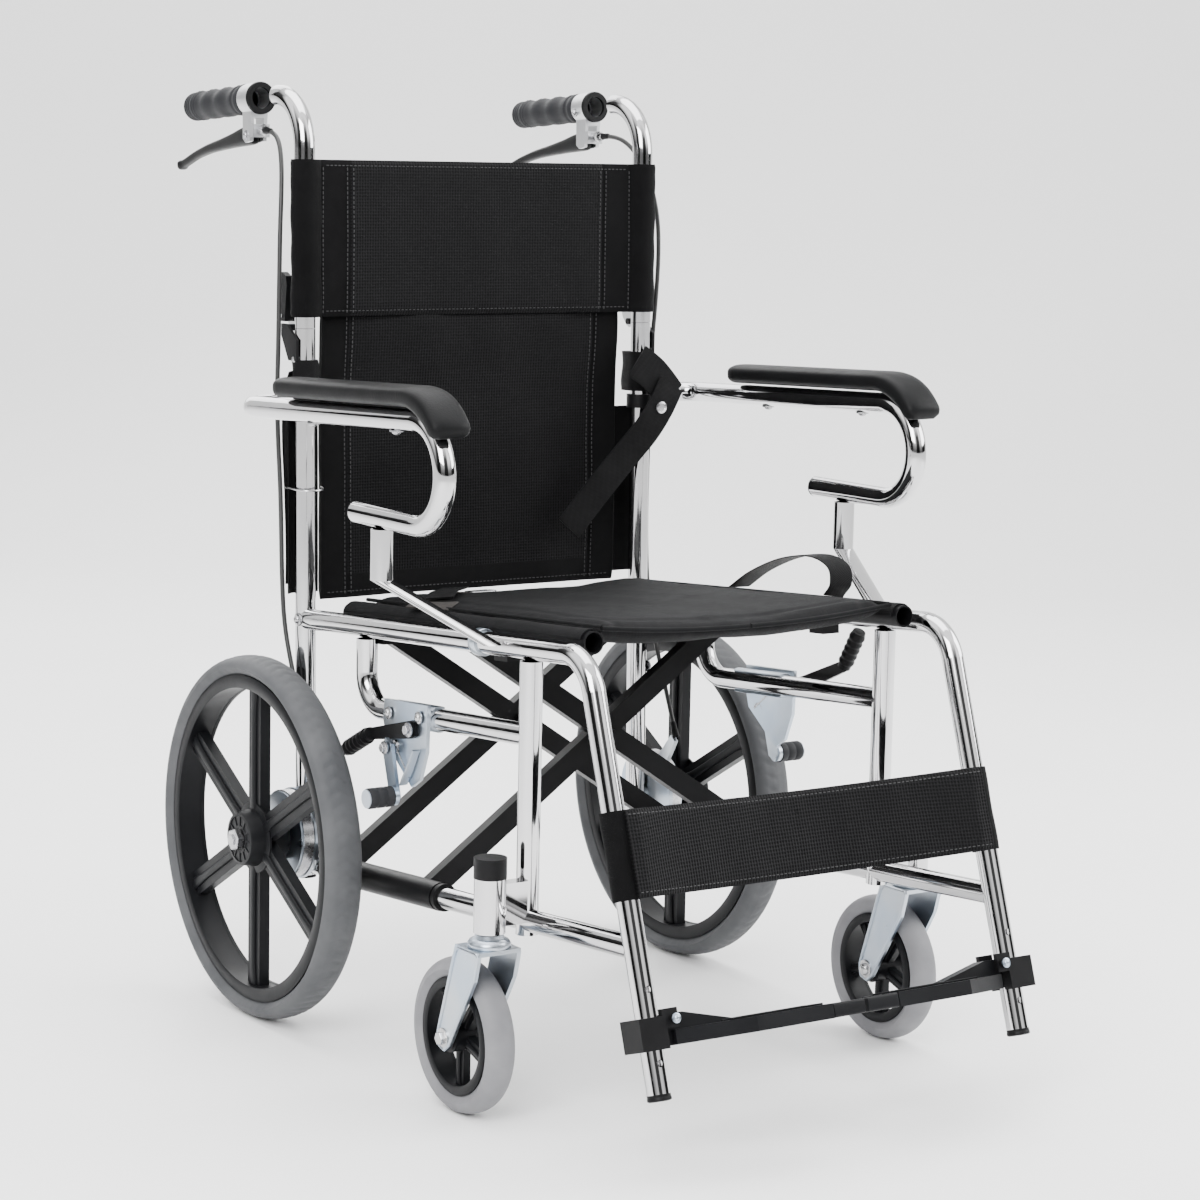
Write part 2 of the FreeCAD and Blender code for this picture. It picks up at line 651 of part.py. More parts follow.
def castor(side, sign):
    """Castor fork with its stem, and a five-spoke wheel with a solid tyre."""
    x = sign * size("castor_half")
    stemY = size("castor_y")
    radius = size("castor_diameter") / 2
    axleY = stemY + size("castor_trail")
    crownZ = size("housing_low") - 14
    gap = size("castor_width") / 2 + 4
    stem = cylinder(f"castor_stem_{side}", "Sizes.stem_diameter / 2", size("housing_high") - crownZ - 6,
                    place(x, stemY, crownZ))
    collar = cylinder(f"castor_collar_{side}", 11, 8, place(x, stemY, crownZ))
    crown = block(f"castor_crown_{side}", (2 * gap + 7, 44, 4), (x - gap - 3.5, -20, -4), place(0, stemY, crownZ))
    legs = []
    for end in (-1, 1):
        profile = [(stemY - 20, crownZ), (stemY + 24, crownZ), (axleY + 11, radius + 4), (axleY + 8, radius - 9),
                   (axleY - 3, radius - 13), (axleY - 12, radius - 6), (stemY - 12, crownZ - 30)]
        legs.append(sidePlate(f"castor_leg_{end + 1}_{side}", profile, 3.5, x + end * (gap + 1.75)))
    axle = cylinder(f"castor_axle_{side}", 4, 2 * gap + 17, across(x - gap - 8.5, axleY, radius))
    node(fuse(f"castor_fork_{side}_fused", [stem, collar, crown, axle] + legs), f"castor_fork_{side}")
    where = across(x, axleY, radius)
    rim = size("castor_rim") / 2
    hub = spokedHub(f"castor_centre_{side}", rim, 9, 12, 15, 17, 4 + size("running_gap"), 5, 14, 4, where)
    node(hub, f"castor_hub_{side}")
    tread = tyre(f"castor_tread_{side}", radius, rim + 0.05, size("castor_width"), where)
    node(tread, f"castor_tyre_{side}")


# ---- brakes ----

def hubBrake(side, x, sign):
    """Band brake case on the rear axle, with its axle bolt and cable arm."""
    face = x + sign * (tubeRadius + 0.4)
    depth = 20
    low = face if sign > 0 else face - depth
    case = cylinder(f"drum_case_{side}", 46, depth, across(low, 0, axleZ))
    lip = cylinder(f"drum_lip_{side}", 49, 5, across(face if sign > 0 else face - 5, 0, axleZ))
    arm = sidePlate(f"drum_arm_{side}", [(-30, 225), (-52, 262), (-44, 268), (-16, 236)], 5, face + sign * 6)
    start = x - sign * (tubeRadius + 7)
    length = abs(sign * (size("wheel_half") + 32) - start)
    axle = cylinder(f"axle_bolt_{side}", "Sizes.axle_diameter / 2", length,
                    across(min(start, start + sign * length), 0, axleZ))
    head = cylinder(f"axle_head_{side}", 9.5, 6, across(start if sign < 0 else start - 6, 0, axleZ))
    tip = start + sign * length
    nut = cylinder(f"axle_nut_{side}", 10, 8, across(tip - 8 if sign > 0 else tip, 0, axleZ))
    node(fuse(f"drum_fused_{side}", [case, lip, arm, axle, head, nut]), f"hub_brake_{side}")


leverPin = (-250.0, 350.0)
shoePin = (-213.0, 326.0)
leverHandle = {"right": [(-172.0, 333.0), (-122.0, 308.0)], "left": [(-350.0, 393.0), (-374.0, 434.0)]}


def brakeBracket(side, x, sign):
    """Plate bolted outside the brake rail, with the pins of the lever and of the shoe."""
    plane = x + sign * (tubeRadius + 2.4)
    points = [(-188, 350), (-190, 372), (-276, 378), (-274, 330), (-262, 300), (-246, 290), (-196, 326)]
    base = sidePlate(f"bracket_plate_{side}", points, 4, plane)
    pins = []
    for label, (y, z), reach in (("lever", leverPin, 8), ("shoe", shoePin, 13)):
        low = plane if sign > 0 else plane - reach
        pins.append(cylinder(f"bracket_{label}_pin_{side}", 4, reach, across(low, y, z)))
    node(fuse(f"bracket_fused_{side}", [base] + pins), f"parking_bracket_{side}")


def parkingLever(side, x, sign):
    """Parking lever: flat arm from its pin to a rubber-covered handle."""
    plane = x + sign * (tubeRadius + 6.6)
    (gripY, gripZ), (tipY, tipZ) = leverHandle[side]
    pinY, pinZ = leverPin
    along = Vector(0, gripY - pinY, gripZ - pinZ).normalize()
    wide = Vector(0, -along.z, along.y)
    corners = []
    for share, half in ((-8, 7), (0, 9), (None, 6)):
        length = share if share is not None else math.hypot(gripY - pinY, gripZ - pinZ) + 3
        corners.append((along * length + wide * half, along * length - wide * half))
    ring = [a for a, b in corners] + [b for a, b in reversed(corners)]
    arm = sidePlate(f"parking_arm_{side}", [(pinY + v.y, pinZ + v.z) for v in ring], 4, plane)
    handle = sideRod(f"parking_handle_{side}", [(gripY, gripZ), (tipY, tipZ)], 1, "7",
                     x + sign * (tubeRadius + 9.6))
    hole = cylinder(f"parking_hole_{side}", 4.06, 12, across(plane - 6, pinY, pinZ))
    body = fuse(f"parking_fused_{side}", [arm, handle])
    node(cut(f"parking_cut_{side}", body, [hole]), f"parking_lever_{side}")


def parkingShoe(side, x, sign):
    """Swinging arm with the roller that presses on the tyre."""
    plane = x + sign * (tubeRadius + 13)
    pinY, pinZ = shoePin
    rollY, rollZ = -229.0, 279.0
    arm = sidePlate(f"shoe_arm_{side}", [(pinY + 9, pinZ + 2), (pinY + 2, pinZ + 10), (pinY - 9, pinZ + 5),
                                        (rollY - 8, rollZ), (rollY - 2, rollZ - 9), (rollY + 8, rollZ - 4)],
                    4, plane)
    low = plane if sign > 0 else plane - 34
    roller = cylinder(f"shoe_roller_{side}", 9.5, 34, across(low, rollY, rollZ))
    hole = cylinder(f"shoe_hole_{side}", 4.06, 12, across(plane - 6, pinY, pinZ))
    body = fuse(f"shoe_fused_{side}", [arm, roller])
    node(cut(f"shoe_cut_{side}", body, [hole]), f"parking_shoe_{side}")


# Brake cable routes by hand: x outward from the side frame, y from the axle, z.
cableRoute = {
    "right": [(0, 106.2, 941.5), (1, 86, 940), (5, 64, 930), (12, 45, 907), (18, 34, 874), (22, 29, 836),
              (24, 26, 796), (25, 25, 752), (25, 26, 708), (25, 28, 664), (24, 27, 616), (22, 25, 568),
              (21, 24, 518), (21, 22, 468), (21, 16, 418), (20, -2, 370), (19, -22, 328), (18, -38, 296),
              (17.5, -51, 267.5)],
    "left": [(0, 106.2, 941.5), (3, 86, 943), (10, 65, 937), (19, 48, 917), (28, 38, 888), (34, 32, 850),
             (33, 28, 806), (29, 26, 758), (25, 26, 710), (24, 28, 664), (24, 27, 616), (22, 25, 568),
             (21, 24, 518), (21, 22, 468), (21, 16, 418), (20, -2, 370), (19, -22, 328), (18, -38, 296),
             (17.5, -51, 267.5)],
}


def cable(side, sign):
    """Brake cable in its housing, straight runs joined by tangent arcs as large as they allow."""
    half = size("frame_half")
    points = [Vector(sign * (half + out), size("axle_y") + y, z) for out, y, z in cableRoute[side]]
    edges, radii = [], []
    start = points[0]
    for before, corner, after in zip(points, points[1:], points[2:]):
        back, ahead = before - corner, after - corner
        shorter = min(back.Length, ahead.Length)
        turn = math.pi - back.getAngle(ahead)
        reach = 0.45 * shorter
        radius = reach / math.tan(turn / 2)
        radii.append(radius)
        back.normalize()
        ahead.normalize()
        half_angle = (math.pi - turn) / 2
        middle = corner + (back + ahead).normalize() * (radius / math.sin(half_angle) - radius)
        edges.append(Part.LineSegment(start, corner + back * reach))
        edges.append(Part.Arc(corner + back * reach, middle, corner + ahead * reach))
        start = corner + ahead * reach
    edges.append(Part.LineSegment(start, points[-1]))
    spine = Part.Wire([edge.toShape() for edge in edges])
    radius = size("cable_diameter") / 2
    circle = Part.Circle(points[0], points[1] - points[0], radius)
    obj = doc.addObject("Part::Feature", f"cable_solid_{side}")
    obj.Shape = spine.makePipeShell([Part.Wire(circle.toShape())], True, False)
    obj.Placement = Placement()
    node(obj, f"brake_cable_{side}")
    expected = spine.Length * math.pi * radius ** 2
    print(f"cable {side}: length {spine.Length:.1f}, volume ratio {obj.Shape.Volume / expected:.4f}, "
          f"radii {[round(r) for r in radii]}")


# ---- folding linkage ----

def seatTubeRise():
    """Seat tubes above the lower rails, square to them."""
    cosine = math.cos(math.radians(size("frame_slope")))
    return (size("seat_rail_z") + size("seat_tube_rise") - size("lower_rail_z")) * cosine


def alongRail(y):
    """Distance along the rails from the fold frame's origin for a place y at seat height."""
    angle = math.radians(size("frame_slope"))
    return (y - seatTubeRise() * math.sin(angle)) / math.cos(angle)


def railRod(name, x, height, v0, v1, radius):
    """A rod along the rails in the fold frame between v0 and v1."""
    frame = foldFrame().multiply(Placement(Vector(x, v1, height), Rotation(Vector(1, 0, 0), 90)))
    return cylinder(name, radius, v1 - v0, frame)


def crossBar(name, sign, shift, pinOwner):
    """A sleeve on one lower rail, two bars and the seat tube on the other side, welded together."""
    lowX = -sign * size("frame_half")
    highX = sign * size("seat_tube_half")
    rise = seatTubeRise()
    run = highX - lowX
    length = math.hypot(run, rise)
    tilt = math.degrees(math.atan2(rise, abs(run)))
    front, rear = size("bar_front") - shift, size("bar_rear") - shift
    height, thick = size("bar_height"), size("bar_thick")
    sleeve = railRod(name + "_sleeve", lowX, 0, size("bar_front") - 30, size("bar_rear") + 16,
                     "Sizes.sleeve_outer / 2")
    sleeveBore = railRod(name + "_sleeve_bore", lowX, 0, size("bar_front") - 30, size("bar_rear") + 16,
                         "Sizes.tube_outer / 2 + Sizes.sleeve_gap")
    v0, v1 = alongRail(size("seat_front")), alongRail(size("seat_back"))
    tube = railRod(name + "_tube", highX, rise, v0, v1, OUTER)
    tubeBore = railRod(name + "_tube_bore", highX, rise, v0, v1, INNER)
    bars, holes, hollows = [], [], []
    turn = Rotation(Vector(0, 1, 0), -tilt) if sign > 0 else Rotation(Vector(0, 1, 0), tilt - 180)
    for label, v in (("front", front), ("rear", rear)):
        frame = foldFrame().multiply(Placement(Vector(lowX, v, 0), turn))
        bars.append(block(f"{name}_{label}", (length, thick, height), (0, -thick / 2, -height / 2), frame))
        wall = size("bar_wall")
        hollow = block(f"{name}_{label}_hollow", (length - 60, thick - 2 * wall, height - 2 * wall),
                       (30, wall - thick / 2, wall - height / 2), frame)
        bush = pivotPin(f"{name}_{label}_bush", v, thick, size("pivot_pin") / 2 + 4, 0)
        hollows.append(cut(f"{name}_{label}_room", hollow, [bush]))
        holes.append(pivotPin(f"{name}_{label}_hole", v, thick + 2, size("pivot_pin") / 2 + size("running_gap"), 0))
    if pinOwner:
        pins = []
        for label, v in (("front", front), ("rear", rear)):
            pins.append(pivotPin(f"{name}_{label}_pin", v, 2 * thick + 12, size("pivot_pin") / 2, -8))
            pins.append(pivotPin(f"{name}_{label}_head", v, 5, 9, 2.5 + thick / 2))
        body = fuse(name + "_fused", [sleeve, tube] + bars + pins)
        return node(cut(name + "_cut", body, [sleeveBore, tubeBore] + hollows), name)
    body = fuse(name + "_fused", [sleeve, tube] + bars)
    return node(cut(name + "_cut", body, [sleeveBore, tubeBore] + holes + hollows), name)


def pivotPin(name, v, length, radius, shift):
    """A pin along the rails where the bars cross, centred on v plus shift."""
    lower, upper = size("frame_half"), size("seat_tube_half")
    crossing = seatTubeRise() * lower / (lower + upper)
    frame = foldFrame().multiply(Placement(Vector(0, v + shift + length / 2, crossing),
                                           Rotation(Vector(1, 0, 0), 90)))
    return cylinder(name, radius, length, frame)


# ---- covers; each is two halves that fold at the middle of the chair ----

def halfPanel(name, sign, hinge, gap, sides, low, frame, firstGap=0.5):
    """Half of a cover from its hinge line in to the gap at the middle, in a local frame."""
    width = hinge - gap - firstGap
    x = gap if sign > 0 else -gap - width
    return block(name, (width, sides[0], sides[1]), (x, low[0], low[1]), frame)


def covers(side, sign):
    """Seat, upper back, lower back and calf strap halves."""
    rise = seatTubeRise()
    v0, v1 = alongRail(size("seat_front")) + 12, alongRail(size("seat_back")) - 4
    seat = halfPanel(f"seat_half_{side}", sign, size("seat_tube_half"), 14, (v1 - v0, size("seat_thick")),
                     (v0, rise + 3), foldFrame(), tubeRadius + 6)
    node(seat, f"seat_cover_{side}")
    cloth = size("cloth")
    half = size("frame_half")
    upper = halfPanel(f"upper_half_{side}", sign, half - 18, 20, (cloth, 160),
                      (-cloth / 2, size("back_hinge_z") + 15 - axleZ), postFrame())
    node(upper, f"upper_back_cover_{side}")
    lower = halfPanel(f"lower_half_{side}", sign, half - 27, 22, (cloth, size("back_hinge_z") - 2 - 450),
                      (tubeRadius + 2, 450 - axleZ), postFrame())
    node(lower, f"lower_back_cover_{side}")
    low, high = size("strap_low_z"), size("strap_high_z")
    tall = (high - low) / math.cos(math.radians(size("leg_lean")))
    strap = halfPanel(f"strap_half_{side}", sign, half - 15, 20, (size("strap_thick"), tall),
                      (-size("strap_thick"), 0), legFrame(low))
    node(strap, f"calf_strap_{side}")


def lapBelt(side, x):
    """Webbing loop of the lap belt round the back post, with its short tail behind."""
    frame = postFrame().multiply(Placement(Vector(x, 0, 675 - axleZ), Rotation()))
    ring = cylinder(f"belt_ring_{side}", tubeRadius + 3.2, 20, frame)
    bore = cylinder(f"belt_bore_{side}", tubeRadius + 0.4, 20, frame)
    tail = block(f"belt_tail_{side}", (3, 16, 44), (x - 1.5, tubeRadius + 1.2, 655 - axleZ), postFrame())
    body = fuse(f"belt_fused_{side}", [ring, tail])
    node(cut(f"belt_cut_{side}", body, [bore]), f"lap_belt_{side}")


# ---- footplates ----

plateZ = 128.0
plateAxisIn = 18.0
plateAxisUp = 17.0


def footplate(side, sign):
    """Footplate that flips up on a bolt beside the leg, with a gusset at its outer end."""
    outerX = size("frame_half") - plateAxisIn
    innerX = 39.0
    frame = legFrame(plateZ)
    deck = [(outerX - 2, -14), (outerX - 2, 9), (outerX - 50, 9), (innerX, 9), (innerX, -48), (outerX - 70, -48)]
    deckBody = plate(f"foot_deck_{side}", "XY_Plane", [(sign * a, b) for a, b in deck], 14, frame)
    gusset = [(outerX + 2, -7), (outerX + 2, plateAxisUp + 5), (outerX - 16, plateAxisUp + 5), (outerX - 82, 6),
              (outerX - 82, -7)]
    gussetBody = plate(f"foot_gusset_{side}", "XZ_Plane", [(sign * a, b) for a, b in gusset], 16, frame)
    axis = frame.multiply(Placement(Vector(sign * outerX, 14, plateAxisUp), Rotation(Vector(1, 0, 0), 90)))
    hole = cylinder(f"foot_hole_{side}", 4 + size("running_gap"), 40, axis)
    body = fuse(f"foot_fused_{side}", [deckBody, gussetBody])
    node(cut(f"foot_cut_{side}", body, [hole]), f"footplate_{side}")


# ---- fittings: caps, plugs, clamps, saddles, hinge plates and bolts of one side frame ----

def fittings(side, x, sign):
    """Small parts fixed to the side frame, kept in one node."""
    parts = []
    high = size("housing_high")
    cap = cylinder(f"castor_cap_{side}", "Sizes.housing_diameter / 2 + 0.5", 20,
                   place(sign * size("castor_half"), size("castor_y"), high + 0.1))
    parts.append(cap)
    foot = size("leg_foot_z")
    plug = legFrame(foot).multiply(Placement(Vector(x, 0, -3.1), Rotation()))
    parts.append(cylinder(f"leg_plug_{side}", OUTER, 3, plug))
    low = size("post_foot_z")
    parts.append(cylinder(f"post_plug_{side}", OUTER, 3,
                          place(x, postY(low), low - 3.2, -size("post_recline"))))
    parts.append(footClamp(side, x, sign))
    parts.append(armBracket(side, x, sign))
    parts.append(backHinge(side, x, sign))
    for label, v in (("front", -400), ("rear", -160)):
        inner = size("seat_tube_half") - 4
        outer = size("frame_half") - tubeRadius - 0.3
        corner = (inner if sign > 0 else -outer, v, seatTubeRise() - tubeRadius - 15.3)
        parts.append(block(f"saddle_{label}_{side}", (outer - inner, 24, 12), corner, foldFrame()))
    for label, v in (("front", size("bar_front") - 38), ("rear", size("bar_rear") + 18)):
        ring = railRod(f"collar_{label}_{side}", x, 0, v, v + 6, 14)
        bore = railRod(f"collar_bore_{label}_{side}", x, 0, v, v + 6, JOINT)
        parts.append(cut(f"collar_cut_{label}_{side}", ring, [bore]))
    node(group(f"fittings_group_{side}", parts), f"frame_fittings_{side}")


def footClamp(side, x, sign):
    """Clamp block round the leg that carries the footplate's hinge bolt."""
    frame = legFrame(plateZ)
    outerX = size("frame_half") - plateAxisIn
    face = outerX + 7.5
    width = size("frame_half") + tubeRadius + 8 - face
    start = face if sign > 0 else -face - width
    blockBody = block(f"clamp_block_{side}", (width, 32, 30), (start, -16, -9), frame)
    bore = cylinder(f"clamp_bore_{side}", JOINT, 40,
                    frame.multiply(Placement(Vector(x, 0, -15), Rotation())))
    ears = []
    for y in (-16, 11):
        start = min(sign * (outerX - 6), sign * (outerX + 11))
        ears.append(block(f"clamp_ear_{y + 16}_{side}", (17, 5, 18), (start, y, plateAxisUp - 8), frame))
    axis = frame.multiply(Placement(Vector(sign * outerX, 18, plateAxisUp), Rotation(Vector(1, 0, 0), 90)))
    bolt = cylinder(f"clamp_bolt_{side}", 4, 36, axis)
    body = fuse(f"clamp_fused_{side}", [blockBody, bolt] + ears)
    return cut(f"clamp_cut_{side}", body, [bore])


def armBracket(side, x, sign):
    """Bracket on the back post with the armrest's pivot stub."""
    z = size("arm_pivot_z")
    frame = postFrame().multiply(Placement(Vector(x, 0, z - axleZ - 16), Rotation()))
    ring = cylinder(f"arm_ring_{side}", 15, 15, frame)
    bore = cylinder(f"arm_ring_bore_{side}", JOINT, 15, frame)
    stubStart = x + sign * 12
    stub = cylinder(f"arm_stub_{side}", tubeRadius - size("tube_wall") - 0.06, 30,
                    across(stubStart if sign > 0 else stubStart - 30, postY(z), z))
    flange = cylinder(f"arm_flange_{side}", 13, 4,
                      across(x + sign * 14 if sign > 0 else x - 18, postY(z), z))
    body = fuse(f"arm_bracket_fused_{side}", [ring, stub, flange])
    full = cylinder(f"arm_ring_full_{side}", JOINT, 60,
                    postFrame().multiply(Placement(Vector(x, 0, z - axleZ - 30), Rotation())))
    return cut(f"arm_bracket_cut_{side}", body, [bore, full])


def backHinge(side, x, sign):
    """Hinge plate and pin of the fold-down back, outside the post."""
    z = size("back_hinge_z")
    y = postY(z)
    plane = x + sign * (tubeRadius + 1.9)
    behind = size("back_hinge_behind")
    strip = sidePlate(f"hinge_strip_{side}", [(y - 8, z - 34), (y + 10, z - 34), (y + behind + 6, z - 8),
                                             (y + behind + 6, z + 4), (y + behind - 6, z + 4), (y - 8, z - 12)],
                      3, plane)
    pin = cylinder(f"hinge_pin_{side}", 3.5, 18, across(plane if sign < 0 else plane - 18, y + behind, z))
    return fuse(f"hinge_fused_{side}", [strip, pin])


for side, sign in SIDES.items():
    x = sign * size("frame_half")
    backPost(side, x)
    mainRail(side, x)
    lowerRail(side, x)
    frontFrame(side, x, sign)
    armSupport(side, x, sign)
    armrestTube(side, sign)
    armrestPad(side, sign)
    pushTube(side, x)
    grip(side, x)
    leverMount(side, x)
    handLever(side, x)
    backLatch(side, x, sign)
    rearWheel(side, sign)
    castor(side, sign)
    hubBrake(side, x, sign)
    brakeBracket(side, x, sign)
    parkingLever(side, x, sign)
    parkingShoe(side, x, sign)
    cable(side, sign)
    covers(side, sign)
    lapBelt(side, x)
    footplate(side, sign)
    fittings(side, x, sign)
crossBar("cross_bar_right", 1, 0, True)
crossBar("cross_bar_left", -1, size("bar_pair_gap"), False)

doc.recompute()
for obj in doc.Objects:
    if "Invalid" in obj.State or "Error" in obj.State:
        raise RuntimeError(f"{obj.Name} ({obj.Label}) failed: {obj.State}")

os.makedirs("parts", exist_ok=True)
whole = FreeCAD.BoundBox()
for name, obj in pieces.items():
    shape = obj.Shape
    if shape.isNull() or not shape.isValid():
        raise RuntimeError(f"{name} has no valid shape")
    whole.add(shape.BoundBox)
    shape.exportStep(f"parts/{name}.step")
print(len(pieces), "sub-parts")
print("box", [round(v, 1) for v in (whole.XMin, whole.YMin, whole.ZMin, whole.XMax, whole.YMax, whole.ZMax)])
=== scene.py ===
import math
import bmesh
import bpy
import numpy as np
from mathutils import Matrix


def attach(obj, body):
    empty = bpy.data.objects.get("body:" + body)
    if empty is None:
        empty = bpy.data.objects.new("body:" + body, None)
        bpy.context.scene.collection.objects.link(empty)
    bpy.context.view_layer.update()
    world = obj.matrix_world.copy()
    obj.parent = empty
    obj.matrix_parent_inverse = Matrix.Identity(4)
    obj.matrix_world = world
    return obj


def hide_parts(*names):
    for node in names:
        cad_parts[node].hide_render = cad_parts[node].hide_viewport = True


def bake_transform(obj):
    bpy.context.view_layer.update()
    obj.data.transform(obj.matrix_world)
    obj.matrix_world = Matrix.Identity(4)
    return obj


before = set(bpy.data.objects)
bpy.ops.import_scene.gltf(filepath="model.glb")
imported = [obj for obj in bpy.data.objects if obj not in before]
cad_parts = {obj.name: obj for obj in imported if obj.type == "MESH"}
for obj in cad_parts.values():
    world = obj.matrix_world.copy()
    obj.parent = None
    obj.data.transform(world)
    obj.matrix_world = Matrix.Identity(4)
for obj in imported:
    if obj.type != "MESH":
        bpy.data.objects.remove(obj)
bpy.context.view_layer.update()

# Folding attendant wheelchair. Sizes are millimetres, y is counted from the rear axle (front is minus)
# and x from the middle of the chair; makeMesh turns them into metres in the model's own place.
chair = {"axleY": 193.5, "axleZ": 195.0, "frameHalf": 215.0, "seatHalf": 187.0, "slope": 4.3, "recline": 1.1,
         "legLean": 18.7, "tube": 11.1}
sides = {"right": -1, "left": 1}
slopeRise = math.tan(math.radians(chair["slope"]))
post = chair["frameHalf"]


def turnedFrame(x, y, z, tilt):
    # Frame at a point, turned about X by tilt degrees, as a 4 by 4 array.
    made = np.array(Matrix.Rotation(math.radians(tilt), 4, "X"))
    made[:3, 3] = (x, y, z)
    return made


def axisFrame(x, y, z, axis):
    # Frame at a point whose third axis is the given direction.
    turned = np.array(Matrix.Identity(4))
    w = np.array(axis, float) / np.linalg.norm(axis)
    helper = np.array([0, 0, 1.0]) if abs(w[2]) < 0.9 else np.array([0, 1.0, 0])
    u = np.cross(helper, w)
    u /= np.linalg.norm(u)
    turned[:3, 0], turned[:3, 1], turned[:3, 2], turned[:3, 3] = u, np.cross(w, u), w, (x, y, z)
    return turned


def apply(place, points):
    # Points of any array shape moved by a frame.
    return points @ place[:3, :3].T + place[:3, 3]


def postY(z):
    return 3.0 + math.tan(math.radians(chair["recline"])) * (z - chair["axleZ"])


def postFrame(x=0.0, z=195.0):
    return turnedFrame(x, postY(z), z, -chair["recline"])


def seatRailZ(y):
    return 426.0 - slopeRise * y


def lowerRailZ(y):
    return 161.6 - slopeRise * y


def legY(z):
    return -538.7 - math.tan(math.radians(chair["legLean"])) * (seatRailZ(-538.7) - z)


def legFrame(x, z):
    return turnedFrame(x, legY(z), z, -chair["legLean"])


def foldFrame():
    return turnedFrame(0, 0, 161.6, -chair["slope"])


seatRise = (426.0 + 7.9 - 161.6) * math.cos(math.radians(chair["slope"]))


def handleFrame(x, y):
    # On the push handle's centre line, third axis to the rear along it.
    z = 981.5 - math.tan(math.radians(3.7)) * (y - postY(981.5))
    return turnedFrame(x, y, z, -93.7)


def gridFaces(rows, columns, wrapRows, wrapColumns):
    # Quads between neighbouring points of a grid; a wrapped direction joins its last line to its first.
    r = np.arange(rows if wrapRows else rows - 1)[:, None]
    c = np.arange(columns if wrapColumns else columns - 1)[None, :]
    nextRow, nextColumn = (r + 1) % rows, (c + 1) % columns
    corners = [r * columns + c, r * columns + nextColumn, nextRow * columns + nextColumn, nextRow * columns + c]
    return np.stack(np.broadcast_arrays(*corners), -1).reshape(-1, 4)


def makeMesh(name, points, faces, material, body=None, uv=None, smooth=True, slot=None):
    # Mesh object from millimetre points, doubles merged and faces turned outwards.
    placed = np.asarray(points, float).reshape(-1, 3) + (0, chair["axleY"], 0)
    mesh = bpy.data.meshes.new(name)
    mesh.from_pydata((placed / 1000).tolist(), [], [tuple(int(i) for i in face) for face in faces])
    if uv is not None:
        layer = mesh.uv_layers.new(name="UVMap")
        corner = np.empty(len(mesh.loops), np.int32)
        mesh.loops.foreach_get("vertex_index", corner)
        layer.data.foreach_set("uv", np.asarray(uv, np.float32).reshape(-1, 2)[corner].ravel())
    built = bmesh.new()
    built.from_mesh(mesh)
    bmesh.ops.remove_doubles(built, verts=built.verts, dist=1e-6)
    bmesh.ops.recalc_face_normals(built, faces=built.faces)
    built.to_mesh(mesh)
    built.free()
    mesh.shade_smooth() if smooth else mesh.shade_flat()
    if smooth:
        mesh.set_sharp_from_angle(angle=math.radians(40))
    piece = bpy.data.objects.new(name, mesh)
    bpy.context.scene.collection.objects.link(piece)
    mesh.materials.append(material)
    if body:
        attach(piece, body)
    return piece


def gridUv(grid):
    # Distances in metres along both directions of a grid.
    lengthA = np.linalg.norm(np.diff(grid, axis=0), axis=2).mean(axis=1)
    lengthB = np.linalg.norm(np.diff(grid, axis=1), axis=2).mean(axis=0)
    a = np.concatenate([[0], np.cumsum(lengthA)]) / 1000
    b = np.concatenate([[0], np.cumsum(lengthB)]) / 1000
    return np.stack(np.meshgrid(a, b, indexing="ij"), -1)


def surface(name, grid, material, body=None, wrap=True, caps=(True, True), wrapRows=False, strip=False, **more):
    # Grid of rows by columns as a closed skin. A cap closes an end with a fan to its middle, or with strip,
    # where columns run out along one skin and back along the other, straight across from skin to skin.
    rows, columns = grid.shape[:2]
    faces = gridFaces(rows, columns, wrapRows, wrap).tolist()
    points, uv = [grid.reshape(-1, 3)], [gridUv(grid).reshape(-1, 2)]
    count = rows * columns
    for end, wanted in zip((0, rows - 1), caps):
        if strip:
            there = end * columns + np.arange(columns // 2)
            back = end * columns + columns - 1 - np.arange(columns // 2)
            faces += np.stack([there[:-1], there[1:], back[1:], back[:-1]], 1).tolist()
        elif wanted and not wrapRows:
            points.append(grid[end].mean(axis=0, keepdims=True))
            uv.append(uv[0][end * columns][None])
            ring = end * columns + np.arange(columns)
            faces += np.stack([ring, np.roll(ring, -1), np.full(columns, count)], 1).tolist()
            count += 1
    return makeMesh(name, np.concatenate(points), faces, material, body, uv=np.concatenate(uv), **more)


def circle(count, phase=0.0):
    turn = np.linspace(0, 2 * np.pi, count, endpoint=False) + phase
    return np.stack([np.cos(turn), np.sin(turn)], 1)


def sweep(path, section, scale=None, reference=(1, 0, 0)):
    # A flat section carried along a path; at each point it stands square to the path and is scaled.
    path = np.asarray(path, float)
    section = np.asarray(section, float)
    along = np.gradient(path, axis=0)
    along /= np.linalg.norm(along, axis=1, keepdims=True)
    up = np.cross(along, np.array(reference, float))
    up /= np.linalg.norm(up, axis=1, keepdims=True)
    across = np.cross(up, along)
    scale = np.ones((len(path), 2)) if scale is None else np.broadcast_to(
        np.asarray(scale, float).reshape(len(path), -1), (len(path), 2))
    sized = section[None] * scale[:, None]
    return path[:, None] + sized[..., :1] * across[:, None] + sized[..., 1:] * up[:, None]


def lathe(profile, count=32, place=None):
    # A profile of (radius, height) turned about the frame's third axis.
    profile = np.asarray(profile, float)
    ring = circle(count)
    grid = np.concatenate([profile[:, None, :1] * ring[None], np.broadcast_to(
        profile[:, None, 1:], (len(profile), count, 1))], axis=2)
    return grid if place is None else apply(place, grid)


